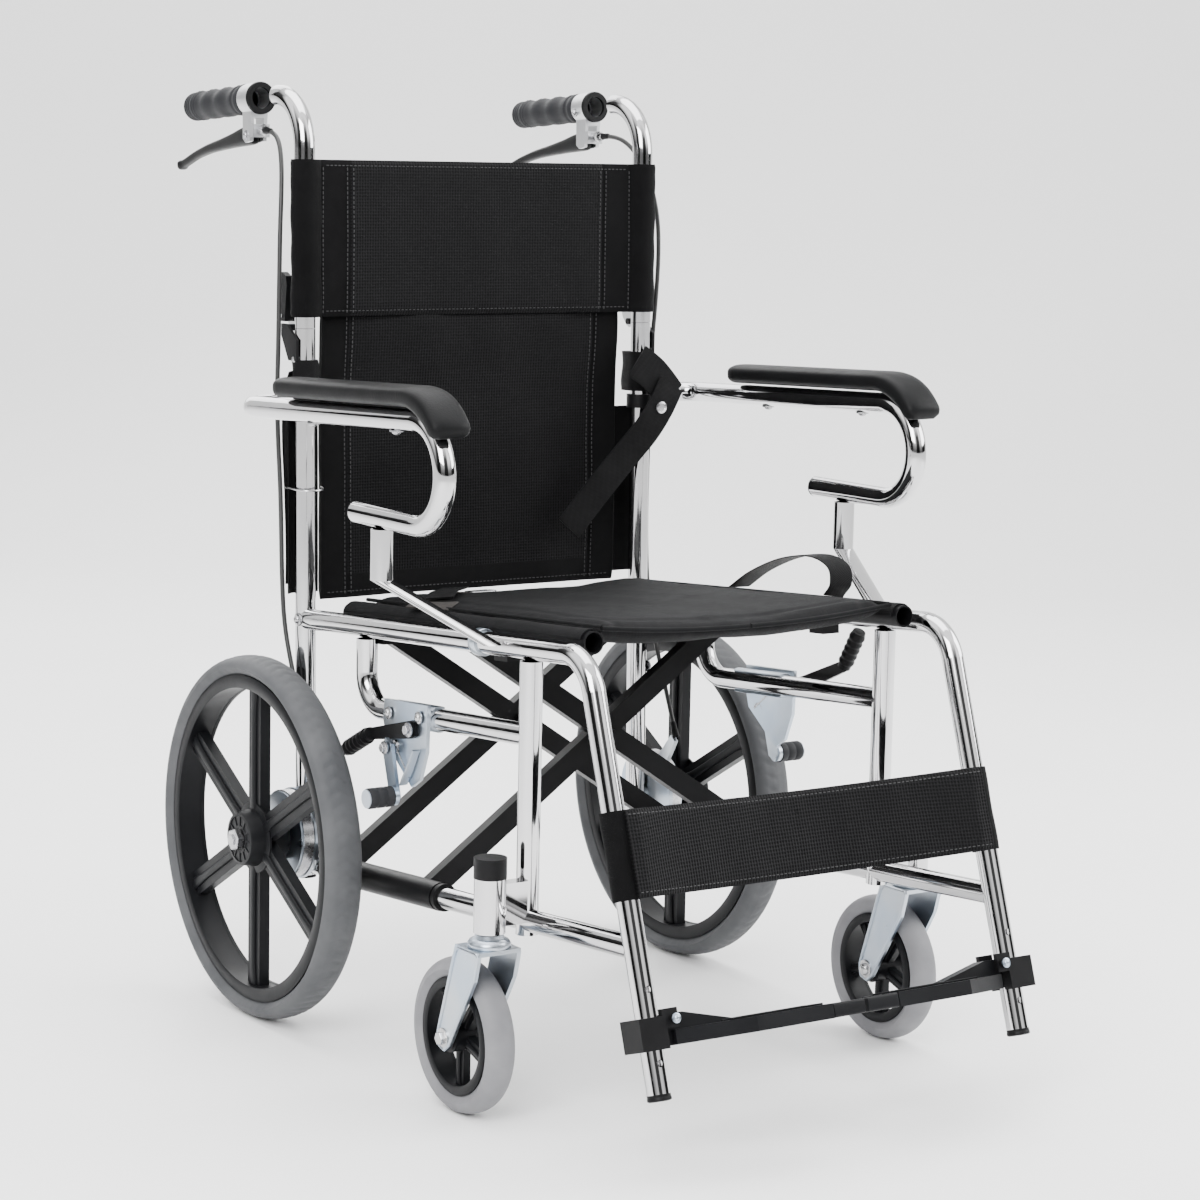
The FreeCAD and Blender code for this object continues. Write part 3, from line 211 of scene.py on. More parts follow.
def smoothPath(points, count):
    # Evenly spaced points on a smooth curve (Catmull-Rom) through given points.
    points = np.asarray(points, float)
    padded = np.concatenate([[2 * points[0] - points[1]], points, [2 * points[-1] - points[-2]]])
    share = np.linspace(0, len(points) - 1, count)
    span = np.minimum(share.astype(int), len(points) - 2)
    f = (share - span)[:, None]
    a, b, c, d = (padded[span + i] for i in range(4))
    return 0.5 * (2 * b + (c - a) * f + (2 * a - 5 * b + 4 * c - d) * f ** 2 + (3 * b - a - 3 * c + d) * f ** 3)


def roundedSection(width, height, power=4.0, count=24):
    # Outline between an ellipse and a rectangle: each coordinate is a power of cosine or sine.
    ring = circle(count)
    shaped = np.sign(ring) * np.abs(ring) ** (2 / power)
    return shaped * (width / 2, height / 2)


def addNode(tree, kind, inputs=None, **settings):
    made = tree.nodes.new("ShaderNode" + kind)
    for key, value in settings.items():
        setattr(made, key, value)
    for key, value in (inputs or {}).items():
        if isinstance(value, bpy.types.NodeSocket):
            tree.links.new(value, made.inputs[key])
        else:
            made.inputs[key].default_value = value
    return made


def coordinates(tree, kind="Object", stretch=(1, 1, 1)):
    source = addNode(tree, "TexCoord").outputs[kind]
    return addNode(tree, "Mapping", {"Vector": source, "Scale": stretch}).outputs["Vector"]


def noise(tree, scale, detail=3.0, kind="Object", stretch=(1, 1, 1)):
    vector = coordinates(tree, kind, stretch)
    return addNode(tree, "TexNoise", {"Vector": vector, "Scale": scale, "Detail": detail}).outputs["Fac"]


def blendColors(tree, factor, first, second, low=0.35, high=0.65):
    # First colour where the factor is low, second where it is high.
    ramp = addNode(tree, "ValToRGB", {"Fac": factor})
    ramp.color_ramp.elements[0].position, ramp.color_ramp.elements[1].position = low, high
    ramp.color_ramp.elements[0].color, ramp.color_ramp.elements[1].color = (*first, 1), (*second, 1)
    return ramp.outputs["Color"]


def spread(tree, factor, low, high):
    return addNode(tree, "MapRange", {"Value": factor, "To Min": low, "To Max": high}).outputs["Result"]


def relief(tree, shader, height, strength, distance):
    # Adds a bump from a height, on top of any bump already there.
    inputs = {"Height": height, "Strength": strength, "Distance": distance}
    earlier = shader.inputs["Normal"].links
    if earlier:
        inputs["Normal"] = earlier[0].from_socket
    made = addNode(tree, "Bump", inputs)
    tree.links.new(made.outputs["Normal"], shader.inputs["Normal"])


def finish(name, color, second, rough, metallic=0.0, patch=6.0, grain=None, **sockets):
    # Base finish: two close colours in patches, uneven roughness and an optional fine grain bump.
    made = bpy.data.materials.new(name)
    made.use_nodes = True
    tree = made.node_tree
    shader = tree.nodes["Principled BSDF"]
    tree.links.new(blendColors(tree, noise(tree, patch, 4.0), color, second), shader.inputs["Base Color"])
    tree.links.new(spread(tree, noise(tree, patch * 5, 5.0), *rough), shader.inputs["Roughness"])
    shader.inputs["Metallic"].default_value = metallic
    for key, value in sockets.items():
        shader.inputs[key.replace("_", " ")].default_value = value
    if grain:
        relief(tree, shader, noise(tree, grain[0], 2.0), grain[1], grain[2])
    return made, tree, shader


def weave(tree, shader, kind, pitch, depth, axes=(0, 2)):
    # Over and under threads: the product of two sine waves across each other.
    vector = addNode(tree, "SeparateXYZ", {"Vector": coordinates(tree, kind)})
    waves = [addNode(tree, "Math", {0: addNode(tree, "Math", {0: vector.outputs[axis], 1: 2 * math.pi / pitch},
                                               operation="MULTIPLY").outputs[0]}, operation="SINE").outputs[0]
             for axis in axes]
    product = addNode(tree, "Math", {0: waves[0], 1: waves[1]}, operation="MULTIPLY").outputs[0]
    relief(tree, shader, product, 0.6, depth)
    return product


def makeMaterials():
    made = {}
    made["chrome"], tree, shader = finish("polishedChrome", (0.60, 0.595, 0.60), (0.55, 0.55, 0.56), (0.035, 0.11), 1.0,
                                          9.0)
    relief(tree, shader, noise(tree, 55.0, 2.0, stretch=(1, 1, 0.35)), 0.04, 0.0008)
    made["zinc"], tree, shader = finish("zincPlate", (0.37, 0.44, 0.53), (0.47, 0.50, 0.53), (0.22, 0.40), 1.0, 14.0,
                                        (420.0, 0.15, 0.0004))
    made["steel"], tree, shader = finish("boltSteel", (0.38, 0.38, 0.40), (0.48, 0.48, 0.48), (0.2, 0.34), 1.0, 40.0)
    made["alloy"], tree, shader = finish("castAlloy", (0.52, 0.53, 0.55), (0.62, 0.62, 0.63), (0.28, 0.45), 1.0, 20.0,
                                         (600.0, 0.3, 0.0004))
    made["blackPaint"], tree, shader = finish("blackPowderCoat", (0.0022, 0.0022, 0.0026), (0.0042, 0.0042, 0.0047),
                                              (0.32, 0.45), 0.0, 12.0, (900.0, 0.25, 0.0003), Specular_IOR_Level=0.13)
    made["blackPlastic"], tree, shader = finish("blackMoulding", (0.003, 0.003, 0.0034), (0.0055, 0.0055, 0.006),
                                                (0.38, 0.52), 0.0, 16.0, (1300.0, 0.25, 0.0002), Specular_IOR_Level=0.13)
    made["hubNylon"], tree, shader = finish("hubNylon", (0.0034, 0.0036, 0.0044), (0.0062, 0.0065, 0.0075), (0.34, 0.5),
                                            0.0, 9.0, (1100.0, 0.2, 0.0003), Specular_IOR_Level=0.14)
    made["jacket"], tree, shader = finish("cableJacket", (0.012, 0.012, 0.012), (0.02, 0.02, 0.02), (0.35, 0.5))
    made["padSkin"], tree, shader = finish("padSkin", (0.0030, 0.0031, 0.0034), (0.0050, 0.0052, 0.0056), (0.40, 0.54), 0.0,
                                           11.0, (1500.0, 0.35, 0.0003), Specular_IOR_Level=0.10)
    cells = addNode(tree, "TexVoronoi", {"Vector": coordinates(tree), "Scale": 520.0}).outputs["Distance"]
    relief(tree, shader, cells, 0.25, 0.0004)
    made["grip"], tree, shader = finish("gripRubber", (0.012, 0.0125, 0.0145), (0.019, 0.0195, 0.0215), (0.55, 0.7), 0.0,
                                        30.0, (1400.0, 0.35, 0.0003), Specular_IOR_Level=0.2)
    made["tyre"], tree, shader = finish("greyTyre", (0.046, 0.048, 0.052), (0.066, 0.068, 0.072), (0.6, 0.8), 0.0, 22.0,
                                        (1600.0, 0.3, 0.0003))
    made["castorTyre"], tree, shader = finish("paleTyre", (0.145, 0.145, 0.155), (0.185, 0.185, 0.194), (0.5, 0.68), 0.0,
                                              26.0, (1500.0, 0.25, 0.0003))
    made["nylon"], tree, shader = finish("blackNylon", (0.0011, 0.0011, 0.0013), (0.0022, 0.0022, 0.0025), (0.62, 0.8),
                                         0.0, 18.0, Specular_IOR_Level=0.07, Sheen_Weight=0.012)
    weave(tree, shader, "Object", 0.0016, 0.0003)
    relief(tree, shader, noise(tree, 26.0, 3.0), 0.35, 0.0025)
    made["seatCloth"], tree, shader = finish("seatNylon", (0.0016, 0.0017, 0.0021), (0.0030, 0.0031, 0.0037), (0.6, 0.78),
                                             0.0, 18.0, Specular_IOR_Level=0.10, Sheen_Weight=0.015)
    weave(tree, shader, "Object", 0.0017, 0.0003, (0, 1))
    relief(tree, shader, noise(tree, 22.0, 3.0), 0.35, 0.003)
    made["spacer"], tree, shader = spacerMesh()
    made["webbing"], tree, shader = finish("beltWebbing", (0.0018, 0.0018, 0.0021), (0.0036, 0.0036, 0.0040), (0.5, 0.66),
                                           0.0, 30.0, Specular_IOR_Level=0.08, Sheen_Weight=0.012)
    weave(tree, shader, "UV", 0.0022, 0.0004, (0, 1))
    made["brownWeb"], tree, shader = finish("brownWebbing", (0.012, 0.010, 0.009), (0.020, 0.016, 0.0145), (0.55, 0.7),
                                            0.0, 30.0, Specular_IOR_Level=0.2, Sheen_Weight=0.05)
    weave(tree, shader, "UV", 0.0022, 0.0004, (0, 1))
    made["thread"], tree, shader = finish("stitchThread", (0.008, 0.008, 0.009), (0.012, 0.012, 0.013), (0.5, 0.6))
    return made


def spacerMesh():
    # Knitted mesh: small round holes in offset rows, with painted shade darkening the inside of each hole, on a
    # slightly shiny net.
    made, tree, shader = finish("spacerMesh", (0.0018, 0.0018, 0.0021), (0.0030, 0.0030, 0.0034), (0.5, 0.65), 0.0, 14.0,
                                Specular_IOR_Level=0.08, Sheen_Weight=0.012)
    vector = coordinates(tree, "Object", (1, 0, 1))
    cells = addNode(tree, "TexVoronoi", {"Vector": vector, "Scale": 300.0, "Randomness": 0.12})
    # Painted shade: the middle of each Voronoi cell, the hole, gets a near-black base colour instead of the net's grey.
    tree.links.new(blendColors(tree, cells.outputs["Distance"], (0.0006, 0.0006, 0.0007), (0.0042, 0.0042, 0.0048), 0.28,
                               0.45), shader.inputs["Base Color"])
    relief(tree, shader, cells.outputs["Distance"], 0.8, 0.0012)
    relief(tree, shader, noise(tree, 20.0, 3.0), 0.3, 0.003)
    return made, tree, shader


look = makeMaterials()
print("materials made:", len(look))


camera = {"place": (-1809.03, -2930.19, 941.81), "turn": 33.882, "down": 8.369, "roll": 1.199, "lens": 94.48}


def makeCamera():
    yaw, pitch, roll = (math.radians(camera[key]) for key in ("turn", "down", "roll"))
    ahead = np.array([math.sin(yaw) * math.cos(pitch), math.cos(yaw) * math.cos(pitch), -math.sin(pitch)])
    level = np.array([math.cos(yaw), -math.sin(yaw), 0])
    over = np.cross(level, ahead)
    right = level * math.cos(roll) + over * math.sin(roll)
    up = -level * math.sin(roll) + over * math.cos(roll)
    data = bpy.data.cameras.new("mainCamera")
    data.lens, data.sensor_width = camera["lens"], 36.0
    data.clip_end = 60.0
    made = bpy.data.objects.new("mainCamera", data)
    place = np.eye(4)
    place[:3, 0], place[:3, 1], place[:3, 2] = right, up, -ahead
    place[:3, 3] = (np.array(camera["place"]) + (0, chair["axleY"], 0)) / 1000
    made.matrix_world = Matrix(place.tolist())
    bpy.context.scene.collection.objects.link(made)
    bpy.context.scene.camera = made


makeCamera()

# Brake cable routes: x outward from the side frame, y, z, the same points as the cable in the model.
cableRoute = {
    "right": [(0, 106.2, 941.5), (1, 86, 940), (5, 64, 930), (12, 45, 907), (18, 34, 874), (22, 29, 836),
              (24, 26, 796), (25, 25, 752), (25, 26, 708), (25, 28, 664), (24, 27, 616), (22, 25, 568),
              (21, 24, 518), (21, 22, 468), (21, 16, 418), (20, -2, 370), (19, -22, 328), (18, -38, 296),
              (17.5, -51, 267.5)],
    "left": [(0, 106.2, 941.5), (3, 86, 943), (10, 65, 937), (19, 48, 917), (28, 38, 888), (34, 32, 850),
             (33, 28, 806), (29, 26, 758), (25, 26, 710), (24, 28, 664), (24, 27, 616), (22, 25, 568),
             (21, 24, 518), (21, 22, 468), (21, 16, 418), (20, -2, 370), (19, -22, 328), (18, -38, 296),
             (17.5, -51, 267.5)],
}
cableSize = {"diameter": 5.0, "sides": 12}


def routeLine(name, points):
    # Points along the NURBS curve that has the route's points as its control points.
    data = bpy.data.curves.new(name, "CURVE")
    data.dimensions = "3D"
    spline = data.splines.new("NURBS")
    spline.points.add(len(points) - 1)
    spline.points.foreach_set("co", np.concatenate([points, np.ones((len(points), 1))], 1).ravel())
    spline.order_u = 3
    spline.use_endpoint_u = True
    data.resolution_u = 8
    line = bpy.data.objects.new(name, data)
    bpy.context.scene.collection.objects.link(line)
    mesh = bpy.data.meshes.new_from_object(line)
    read = np.empty(len(mesh.vertices) * 3)
    mesh.vertices.foreach_get("co", read)
    bpy.data.objects.remove(line)
    bpy.data.meshes.remove(mesh)
    return read.reshape(-1, 3)


def makeCables():
    for side, sign in sides.items():
        route = np.array(cableRoute[side], float)
        route[:, 0] = sign * (post + route[:, 0])
        path = routeLine("route", route)
        skin = sweep(path, circle(cableSize["sides"]) * cableSize["diameter"] / 2)
        cable = surface(f"cable_{side}", skin, look["jacket"], slot="cable_jacket")
        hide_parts(f"brake_cable_{side}")
        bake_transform(cable)
        for end, row, onto in (("top", 0, f"back_{side}"), ("low", -1, f"frame_{side}")):
            ahead = path[1] - path[0] if end == "top" else path[-1] - path[-2]
            place = axisFrame(*path[row], ahead if end == "top" else -ahead)
            boot = lathe([(0, -1), (3.4, -1), (3.9, 0), (3.9, 7), (3.3, 9), (3.3, 15), (2.7, 17), (2.2, 17.5)], 20, place)
            surface(f"cableBoot_{end}_{side}", boot, look["blackPlastic"], onto, caps=(False, True), slot="cable_jacket")


makeCables()
print("camera and cables made")


def makeRoom():
    # Pale floor that curves up into a wall behind, a soft gradient sky and large soft lights.
    across = np.linspace(-9000, 9000, 24)
    turn = np.linspace(0, math.pi / 2, 14)
    depth = np.concatenate([[-9000, 3200], 3200 + 1500 * np.sin(turn)[1:], [4700]])
    height = np.concatenate([[0, 0], 1500 - 1500 * np.cos(turn)[1:], [7000]])
    grid = np.stack([np.broadcast_to(across[None], (len(depth), 24)), np.broadcast_to(depth[:, None], (len(depth), 24)),
                     np.broadcast_to(height[:, None], (len(depth), 24))], -1)
    turned = grid.copy()
    yaw = math.radians(camera["turn"])
    turned[..., 0] = grid[..., 0] * math.cos(yaw) + grid[..., 1] * math.sin(yaw)
    turned[..., 1] = -grid[..., 0] * math.sin(yaw) + grid[..., 1] * math.cos(yaw)
    pale, tree, shader = finish("paleFloor", (0.93, 0.93, 0.93), (0.945, 0.945, 0.945), (0.55, 0.65), 0.0, 2.0)
    shader.inputs["Specular IOR Level"].default_value = 0.2
    floor = makeMesh("floor", turned, gridFaces(*grid.shape[:2], False, False), pale)
    reach = 45000.0
    corners = np.array([(-reach, -reach, -0.5), (reach, -reach, -0.5), (reach, reach, -0.5), (-reach, reach, -0.5)])
    makeMesh("wideFloor", corners, [(0, 1, 2, 3)], pale)
    world = bpy.data.worlds.new("studio")
    bpy.context.scene.world = world
    world.use_nodes = True
    tree = world.node_tree
    height = addNode(tree, "SeparateXYZ", {"Vector": addNode(tree, "TexCoord").outputs["Generated"]}).outputs["Z"]
    ramp = addNode(tree, "ValToRGB", {"Fac": addNode(tree, "MapRange", {"Value": height, "From Min": -1.0}).outputs[0]})
    stops = [(0.0, 0.45), (0.46, 0.30), (0.52, 0.07), (0.58, 0.22), (0.70, 1.0), (1.0, 1.0)]
    while len(ramp.color_ramp.elements) < len(stops):
        ramp.color_ramp.elements.new(0.5)
    for element, (position, value) in zip(ramp.color_ramp.elements, stops):
        element.position, element.color = position, (value, value, value, 1)
    tree.links.new(ramp.outputs["Color"], tree.nodes["Background"].inputs["Color"])
    split = height.node
    turn = addNode(tree, "Math", {0: split.outputs["Y"], 1: split.outputs["X"]}, operation="ARCTAN2").outputs[0]
    turn = addNode(tree, "Math", {0: turn, 1: 5.0, 2: 0.9}, operation="MULTIPLY_ADD").outputs[0]
    panels = addNode(tree, "MapRange", {"Value": addNode(tree, "Math", {0: turn}, operation="SINE").outputs[0],
                                        "From Min": -0.35, "From Max": 0.35, "To Min": 0.05, "To Max": 1.0}).outputs[0]
    above = addNode(tree, "MapRange", {"Value": height, "From Min": 0.45, "From Max": 0.85}).outputs[0]
    level = addNode(tree, "Math", {0: panels, 1: above}, operation="MAXIMUM").outputs[0]
    strength = addNode(tree, "Math", {0: level, 1: 2.3}, operation="MULTIPLY").outputs[0]
    tree.links.new(strength, tree.nodes["Background"].inputs["Strength"])


lights = [("keyLight", (-2600, -2200, 2600), 2.2, 190.0), ("sideLight", (2600, -1500, 2000), 2.0, 110.0),
          ("topLight", (200, 300, 3400), 2.8, 120.0), ("backLight", (500, 3000, 2400), 2.4, 60.0)]


def makeLights():
    for name, place, size, power in lights:
        data = bpy.data.lights.new(name, "AREA")
        data.shape, data.size, data.energy = "SQUARE", size, power
        lamp = bpy.data.objects.new(name, data)
        spot = np.array(place, float)
        aim = axisFrame(*((spot + (0, chair["axleY"], 0)) / 1000), spot - (0, 0, 450))
        lamp.matrix_world = Matrix(aim.tolist())
        bpy.context.scene.collection.objects.link(lamp)


makeRoom()
makeLights()
print("room and lights made")


nodeLooks = {
    "chrome": ["back_post", "seat_rail", "lower_rail", "front_frame", "arm_support", "push_tube", "armrest_tube"],
    "zinc": ["hub_brake", "parking_bracket", "castor_fork", "parking_shoe"],
    "blackPlastic": ["frame_fittings", "back_latch"],
    "alloy": ["brake_lever_mount"],
    "hubNylon": ["wheel_hub", "castor_hub", "footplate"],
    "blackPaint": ["parking_lever", "cross_bar"],
}


def dressNodes():
    for key, names in nodeLooks.items():
        for name in names:
            for side in sides:
                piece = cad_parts[f"{name}_{side}"]
                piece.data.materials.clear()
                piece.data.materials.append(look[key])


dressNodes()
print("model parts finished")


def bolt(name, place, body, radius=5.0, height=4.0, head="hex", material="steel"):
    # Washer with a hexagon or a domed head, its underside on the frame's origin.
    washer = lathe([(0, -0.6), (radius * 1.5, -0.6), (radius * 1.5, 0.9), (radius * 1.4, 1.1), (0, 1.1)], 28, place)
    surface(name + "_washer", washer, look[material], body, caps=(False, False))
    if head == "hex":
        rows = [(0.94, 1.0), (1.0, 1.3), (1.0, height + 0.5), (0.93, height + 1.0), (0.01, height + 1.0)]
        count, phase = 6, 0.2
    else:
        angle = np.linspace(0, math.pi / 2, 6)
        rows = [(1.0, 1.0)] + [(math.cos(a) + 0.001, 1.2 + height * math.sin(a)) for a in angle]
        count, phase = 20, 0.0
    ring = circle(count, phase)
    grid = np.stack([np.column_stack([ring * radius * scale, np.full(count, z)]) for scale, z in rows])
    surface(name, apply(place, grid), look[material], body, smooth=head != "hex")


gripShape = {"length": 132.0, "radius": 15.4, "wave": 1.3, "ridges": 3}


def makeGrips():
    # Grip radius along its length: a closed end, three finger waves stronger below, and fine end rings.
    length = gripShape["length"]
    along = np.concatenate([[0, 0, 1.5, 3], np.linspace(5, length - 6, 90), length - 6 + 6 * np.sin(
        np.linspace(0.15, math.pi / 2, 8))])
    ring = circle(48)
    below = 0.5 - 0.5 * ring[:, 1]
    share = np.clip((along - 14) / (length - 34), 0, 1)
    wave = gripShape["wave"] * np.cos(share * 2 * np.pi * gripShape["ridges"]) * (share > 0) * (share < 1)
    collar = 1.8 * np.exp(-((along - 4) / 4.5) ** 2)
    rings = 0.35 * np.sin(along * 2 * np.pi / 4.0) * (along > length - 30) * (along < length - 7)
    flutes = 0.22 * np.cos(np.arctan2(ring[:, 1], ring[:, 0]) * 24)
    radius = gripShape["radius"] + collar[:, None] + rings[:, None] + wave[:, None] * (0.35 + 0.65 * below[None])
    radius = radius + flutes[None] * ((share > 0) & (share < 1))[:, None]
    end = np.clip((length - along) / 6, 0, 1)
    radius *= np.sqrt(np.clip(1 - (1 - end) ** 2, 0, 1))[:, None] * 0.55 + 0.45
    radius[0] = 11.3
    grid = np.concatenate([radius[..., None] * ring[None], np.broadcast_to(
        along[:, None, None], (len(along), 48, 1))], axis=2)
    for side, sign in sides.items():
        place = handleFrame(sign * post, 271.0 + 4.2 - length)
        piece = surface(f"grip_{side}", apply(place, grid), look["grip"], f"back_{side}", caps=(False, True),
                        slot="grip_rubber")
        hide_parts(f"push_grip_{side}")


leverLine = [(-5, -1), (6, 0), (22, -2), (45, -6), (75, -11), (105, -16), (135, -23), (160, -31), (180, -37)]
leverWide = [(13, 16), (14, 21), (14, 20), (13, 16), (12, 12.5), (11, 10.5), (10, 9), (10, 8.5), (9.5, 8)]


def makeHandLevers():
    # Curved blade: a rounded section that thins from the pivot to a ball at the tip.
    pivotY, pivotZ = 130.0, 935.5
    for side, sign in sides.items():
        line = smoothPath([(sign * post, pivotY + y, pivotZ + z) for y, z in leverLine], 60)
        wide = smoothPath([(a, b, 0) for a, b in leverWide], 60)[:, :2]
        ends = np.sqrt(np.clip(1 - np.clip(1 - np.arange(60) / 3, 0, 1) ** 2, 0.02, 1))[:, None]
        ball = 1 + 0.35 * np.exp(-((np.arange(60) - 57) / 2.0) ** 2)[:, None]
        close = np.sqrt(np.clip(1 - np.clip((np.arange(60) - 56) / 3.05, 0, 1) ** 2, 0.02, 1))[:, None]
        grid = sweep(line, roundedSection(1, 1, 3.0), wide * ends * ball * close)
        piece = surface(f"handLever_{side}", grid, look["blackPaint"], f"hand_lever_{side}", slot="lever_black")
        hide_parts(f"brake_hand_lever_{side}")
        pin = axisFrame(sign * post, pivotY, pivotZ, (sign, 0, 0))
        pin[:3, 3] += pin[:3, 2] * 10
        bolt(f"leverPin_{side}", pin, f"back_{side}", 3.6, 2.5, "dome")
        clamp = handleFrame(sign * post, 113.5)
        ring = lathe([(11.4, 0), (16.6, 0), (17.4, 1), (17.4, 4.2), (11.4, 4.2)], 40, clamp)
        surface(f"clampRing_{side}", ring, look["blackPlastic"], f"back_{side}", wrapRows=True)
        screw = axisFrame(sign * post, 102.0, 941.5, (0, -1, 0))
        knob = circle(24) * (1 + 0.09 * np.cos(np.arctan2(*circle(24).T[::-1]) * 8))[:, None]
        rows = [(2.0, -9), (5.2, -9), (5.6, -8), (5.6, -3), (5.0, -2), (3.3, -2), (3.3, 3), (2.4, 3.6)]
        grid = np.stack([np.column_stack([knob * r, np.full(24, z)]) for r, z in rows])
        surface(f"adjuster_{side}", apply(screw, grid), look["steel"], f"back_{side}")
        face = axisFrame(sign * (post - 17), 131.0, 968.0, (-sign, 0, 0))
        bolt(f"mountBolt_{side}", face, f"back_{side}", 3.2, 3.0, "dome")


makeGrips()
makeHandLevers()
print("handles made")


padShape = {"width": 46.0, "height": 21.0}


def makePads():
    # Pad section swept over the armrest: crowned on top, flat below, drooping over the front curl.
    pivotY = postY(655)
    rise = math.tan(math.radians(2.4))
    front, curl = -345.0, 50.0
    topZ = 655.0 - rise * (front - pivotY)
    centreZ = topZ - curl
    lift = chair["tube"] + 12.5
    straight = np.linspace(-77, front, 40)
    line = np.stack([straight, 655.0 - rise * (straight - pivotY) + lift], 1)
    turn = np.linspace(0, math.radians(58), 22)[1:]
    arc = np.stack([front - (curl + lift) * np.sin(turn), centreZ + (curl + lift) * np.cos(turn)], 1)
    flat = np.concatenate([line, arc])
    ring = circle(40)
    shaped = np.sign(ring) * np.abs(ring) ** (2 / 3.4)
    crown = np.where(shaped[:, 1] > 0, 0.5 * shaped[:, 1] * (1 - 0.10 * shaped[:, 0] ** 2), 0.5 * shaped[:, 1])
    section = np.stack([shaped[:, 0] * 0.5, crown], 1)
    steps = np.linspace(0, 1, len(flat))
    startCap = np.sqrt(np.clip(1 - np.clip(1 - steps / 0.035, 0, 1) ** 2, 0.003, 1))
    endCap = np.sqrt(np.clip(1 - np.clip((steps - 0.95) / 0.0502, 0, 1) ** 2, 0.003, 1))
    wide = padShape["width"] * (0.94 + 0.06 * np.sin(steps * math.pi)) * startCap * (0.55 + 0.45 * endCap)
    tall = padShape["height"] * (1 + 0.10 * np.exp(-((steps - 0.80) / 0.1) ** 2)) * startCap * endCap
    for side, sign in sides.items():
        path = np.column_stack([np.full(len(flat), sign * 286.0), flat])
        grid = sweep(path, section, np.stack([wide, tall], 1))
        piece = surface(f"armPad_{side}", grid, look["padSkin"], f"armrest_{side}", slot="pad_rubber")
        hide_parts(f"armrest_pad_{side}")
        for y, z in ((-137, 655.0 - rise * (-137 - pivotY)), (-304, 655.0 - rise * (-304 - pivotY))):
            bolt(f"padScrew_{int(-y)}_{side}", axisFrame(sign * 286, y, z - chair["tube"], (0, 0, -1)),
                 f"armrest_{side}", 4.5, 3.0, "dome")
        tip = axisFrame(sign * 286, -229.0, centreZ - curl, (0, 1, 0))
        plug = lathe([(9.4, -4), (9.4, 0), (11.0, 0.2), (11.0, 1.8), (9.5, 3.2), (0.01, 3.6)], 28, tip)
        surface(f"armPlug_{side}", plug, look["blackPlastic"], f"armrest_{side}", caps=(True, False))


makePads()
print("armrest pads made")


backShape = {"low": 747.0, "high": 912.0, "sleeve": 14.8, "flap": 4.5, "seam": 161.0, "thick": 3.4, "sag": 9.0,
             "lowerLow": 443.0, "lowerHigh": 752.0, "lowerEdge": 190.0}


def crumple(u, v, size, reach):
    # Soft uneven folds: a sum of sine waves in different directions and lengths.
    folds = [(1.0, 0.9, 0.4, 0.3), (0.6, -1.7, 1.1, 1.9), (0.5, 2.6, 0.7, 4.0), (0.35, 1.3, -3.1, 2.2)]
    return size * sum(a * np.sin((b * u + c * v) / reach * 2 * np.pi + d) for a, b, c, d in folds)


def sheetGrid(x, z, centre, thick, place):
    # A padded sheet: front and back skins around a middle surface, drawn together at the rims.
    gx, gz = np.meshgrid(x, z, indexing="ij")
    share = (gz - z[0]) / (z[-1] - z[0])
    rim = np.sqrt(np.clip(1 - np.abs(2 * share - 1) ** 26, 0, 1)) * 0.92 + 0.08
    half = thick(gx, gz) * rim
    middle = centre(gx, gz)
    front = np.stack([gx, middle - half, gz], -1)
    rear = np.stack([gx, middle + half, gz], -1)[:, ::-1]
    return apply(place, np.concatenate([front, rear], axis=1))


def paint(piece, test, material):
    # Gives another material to the faces whose middle, in millimetres, passes the test.
    mesh = piece.data
    centre = np.empty(len(mesh.polygons) * 3)
    mesh.polygons.foreach_get("center", centre)
    middle = centre.reshape(-1, 3) * 1000 - (0, chair["axleY"], 0)
    mesh.materials.append(material)
    chosen = test(middle).astype(np.int32) * (len(mesh.materials) - 1)
    mesh.polygons.foreach_set("material_index", chosen)
    mesh.update()


def stitches(name, path, body, pitch=5.0, length=3.4, size=0.55, material="thread"):
    # Thread stitches laid end to end along a path: each a small six-sided bead.
    path = np.asarray(path, float)
    walked = np.concatenate([[0], np.cumsum(np.linalg.norm(np.diff(path, axis=0), axis=1))])
    starts = np.arange(pitch / 2, walked[-1] - pitch / 2, pitch)
    steps = np.array([-0.5, -0.36, 0.36, 0.5])
    spots = starts[:, None] + steps[None] * length
    centre = np.stack([np.interp(spots, walked, path[:, i]) for i in range(3)], -1)
    along = centre[:, -1] - centre[:, 0]
    along /= np.linalg.norm(along, axis=1, keepdims=True)
    helper = np.where(np.abs(along[:, :1]) < 0.9, np.array([[1.0, 0, 0]]), np.array([[0, 1.0, 0]]))
    first = np.cross(along, helper)
    first /= np.linalg.norm(first, axis=1, keepdims=True)
    second = np.cross(along, first)
    ring = circle(6)
    radius = np.array([0.25, 1.0, 1.0, 0.25]) * size
    points = centre[:, :, None] + radius[None, :, None, None] * (
        ring[None, None, :, :1] * first[:, None, None] + ring[None, None, :, 1:] * second[:, None, None])
    quads = gridFaces(4, 6, False, True)
    ends = np.stack([[5, 4, 3, 2, 1, 0], [18, 19, 20, 21, 22, 23]])
    count = len(starts)
    shift = (np.arange(count) * 24)[:, None, None]
    faces = (quads[None] + shift).reshape(-1, 4).tolist() + (ends[None] + shift).reshape(-1, 6).tolist()
    return makeMesh(name, points, faces, look[material], body, slot="cover_fabric")


def piping(name, path, body, radius=1.9, material="nylon", **more):
    # Round cord sewn into an edge.
    return surface(name, sweep(path, circle(10) * radius, **more), look[material], body, slot="cover_fabric")


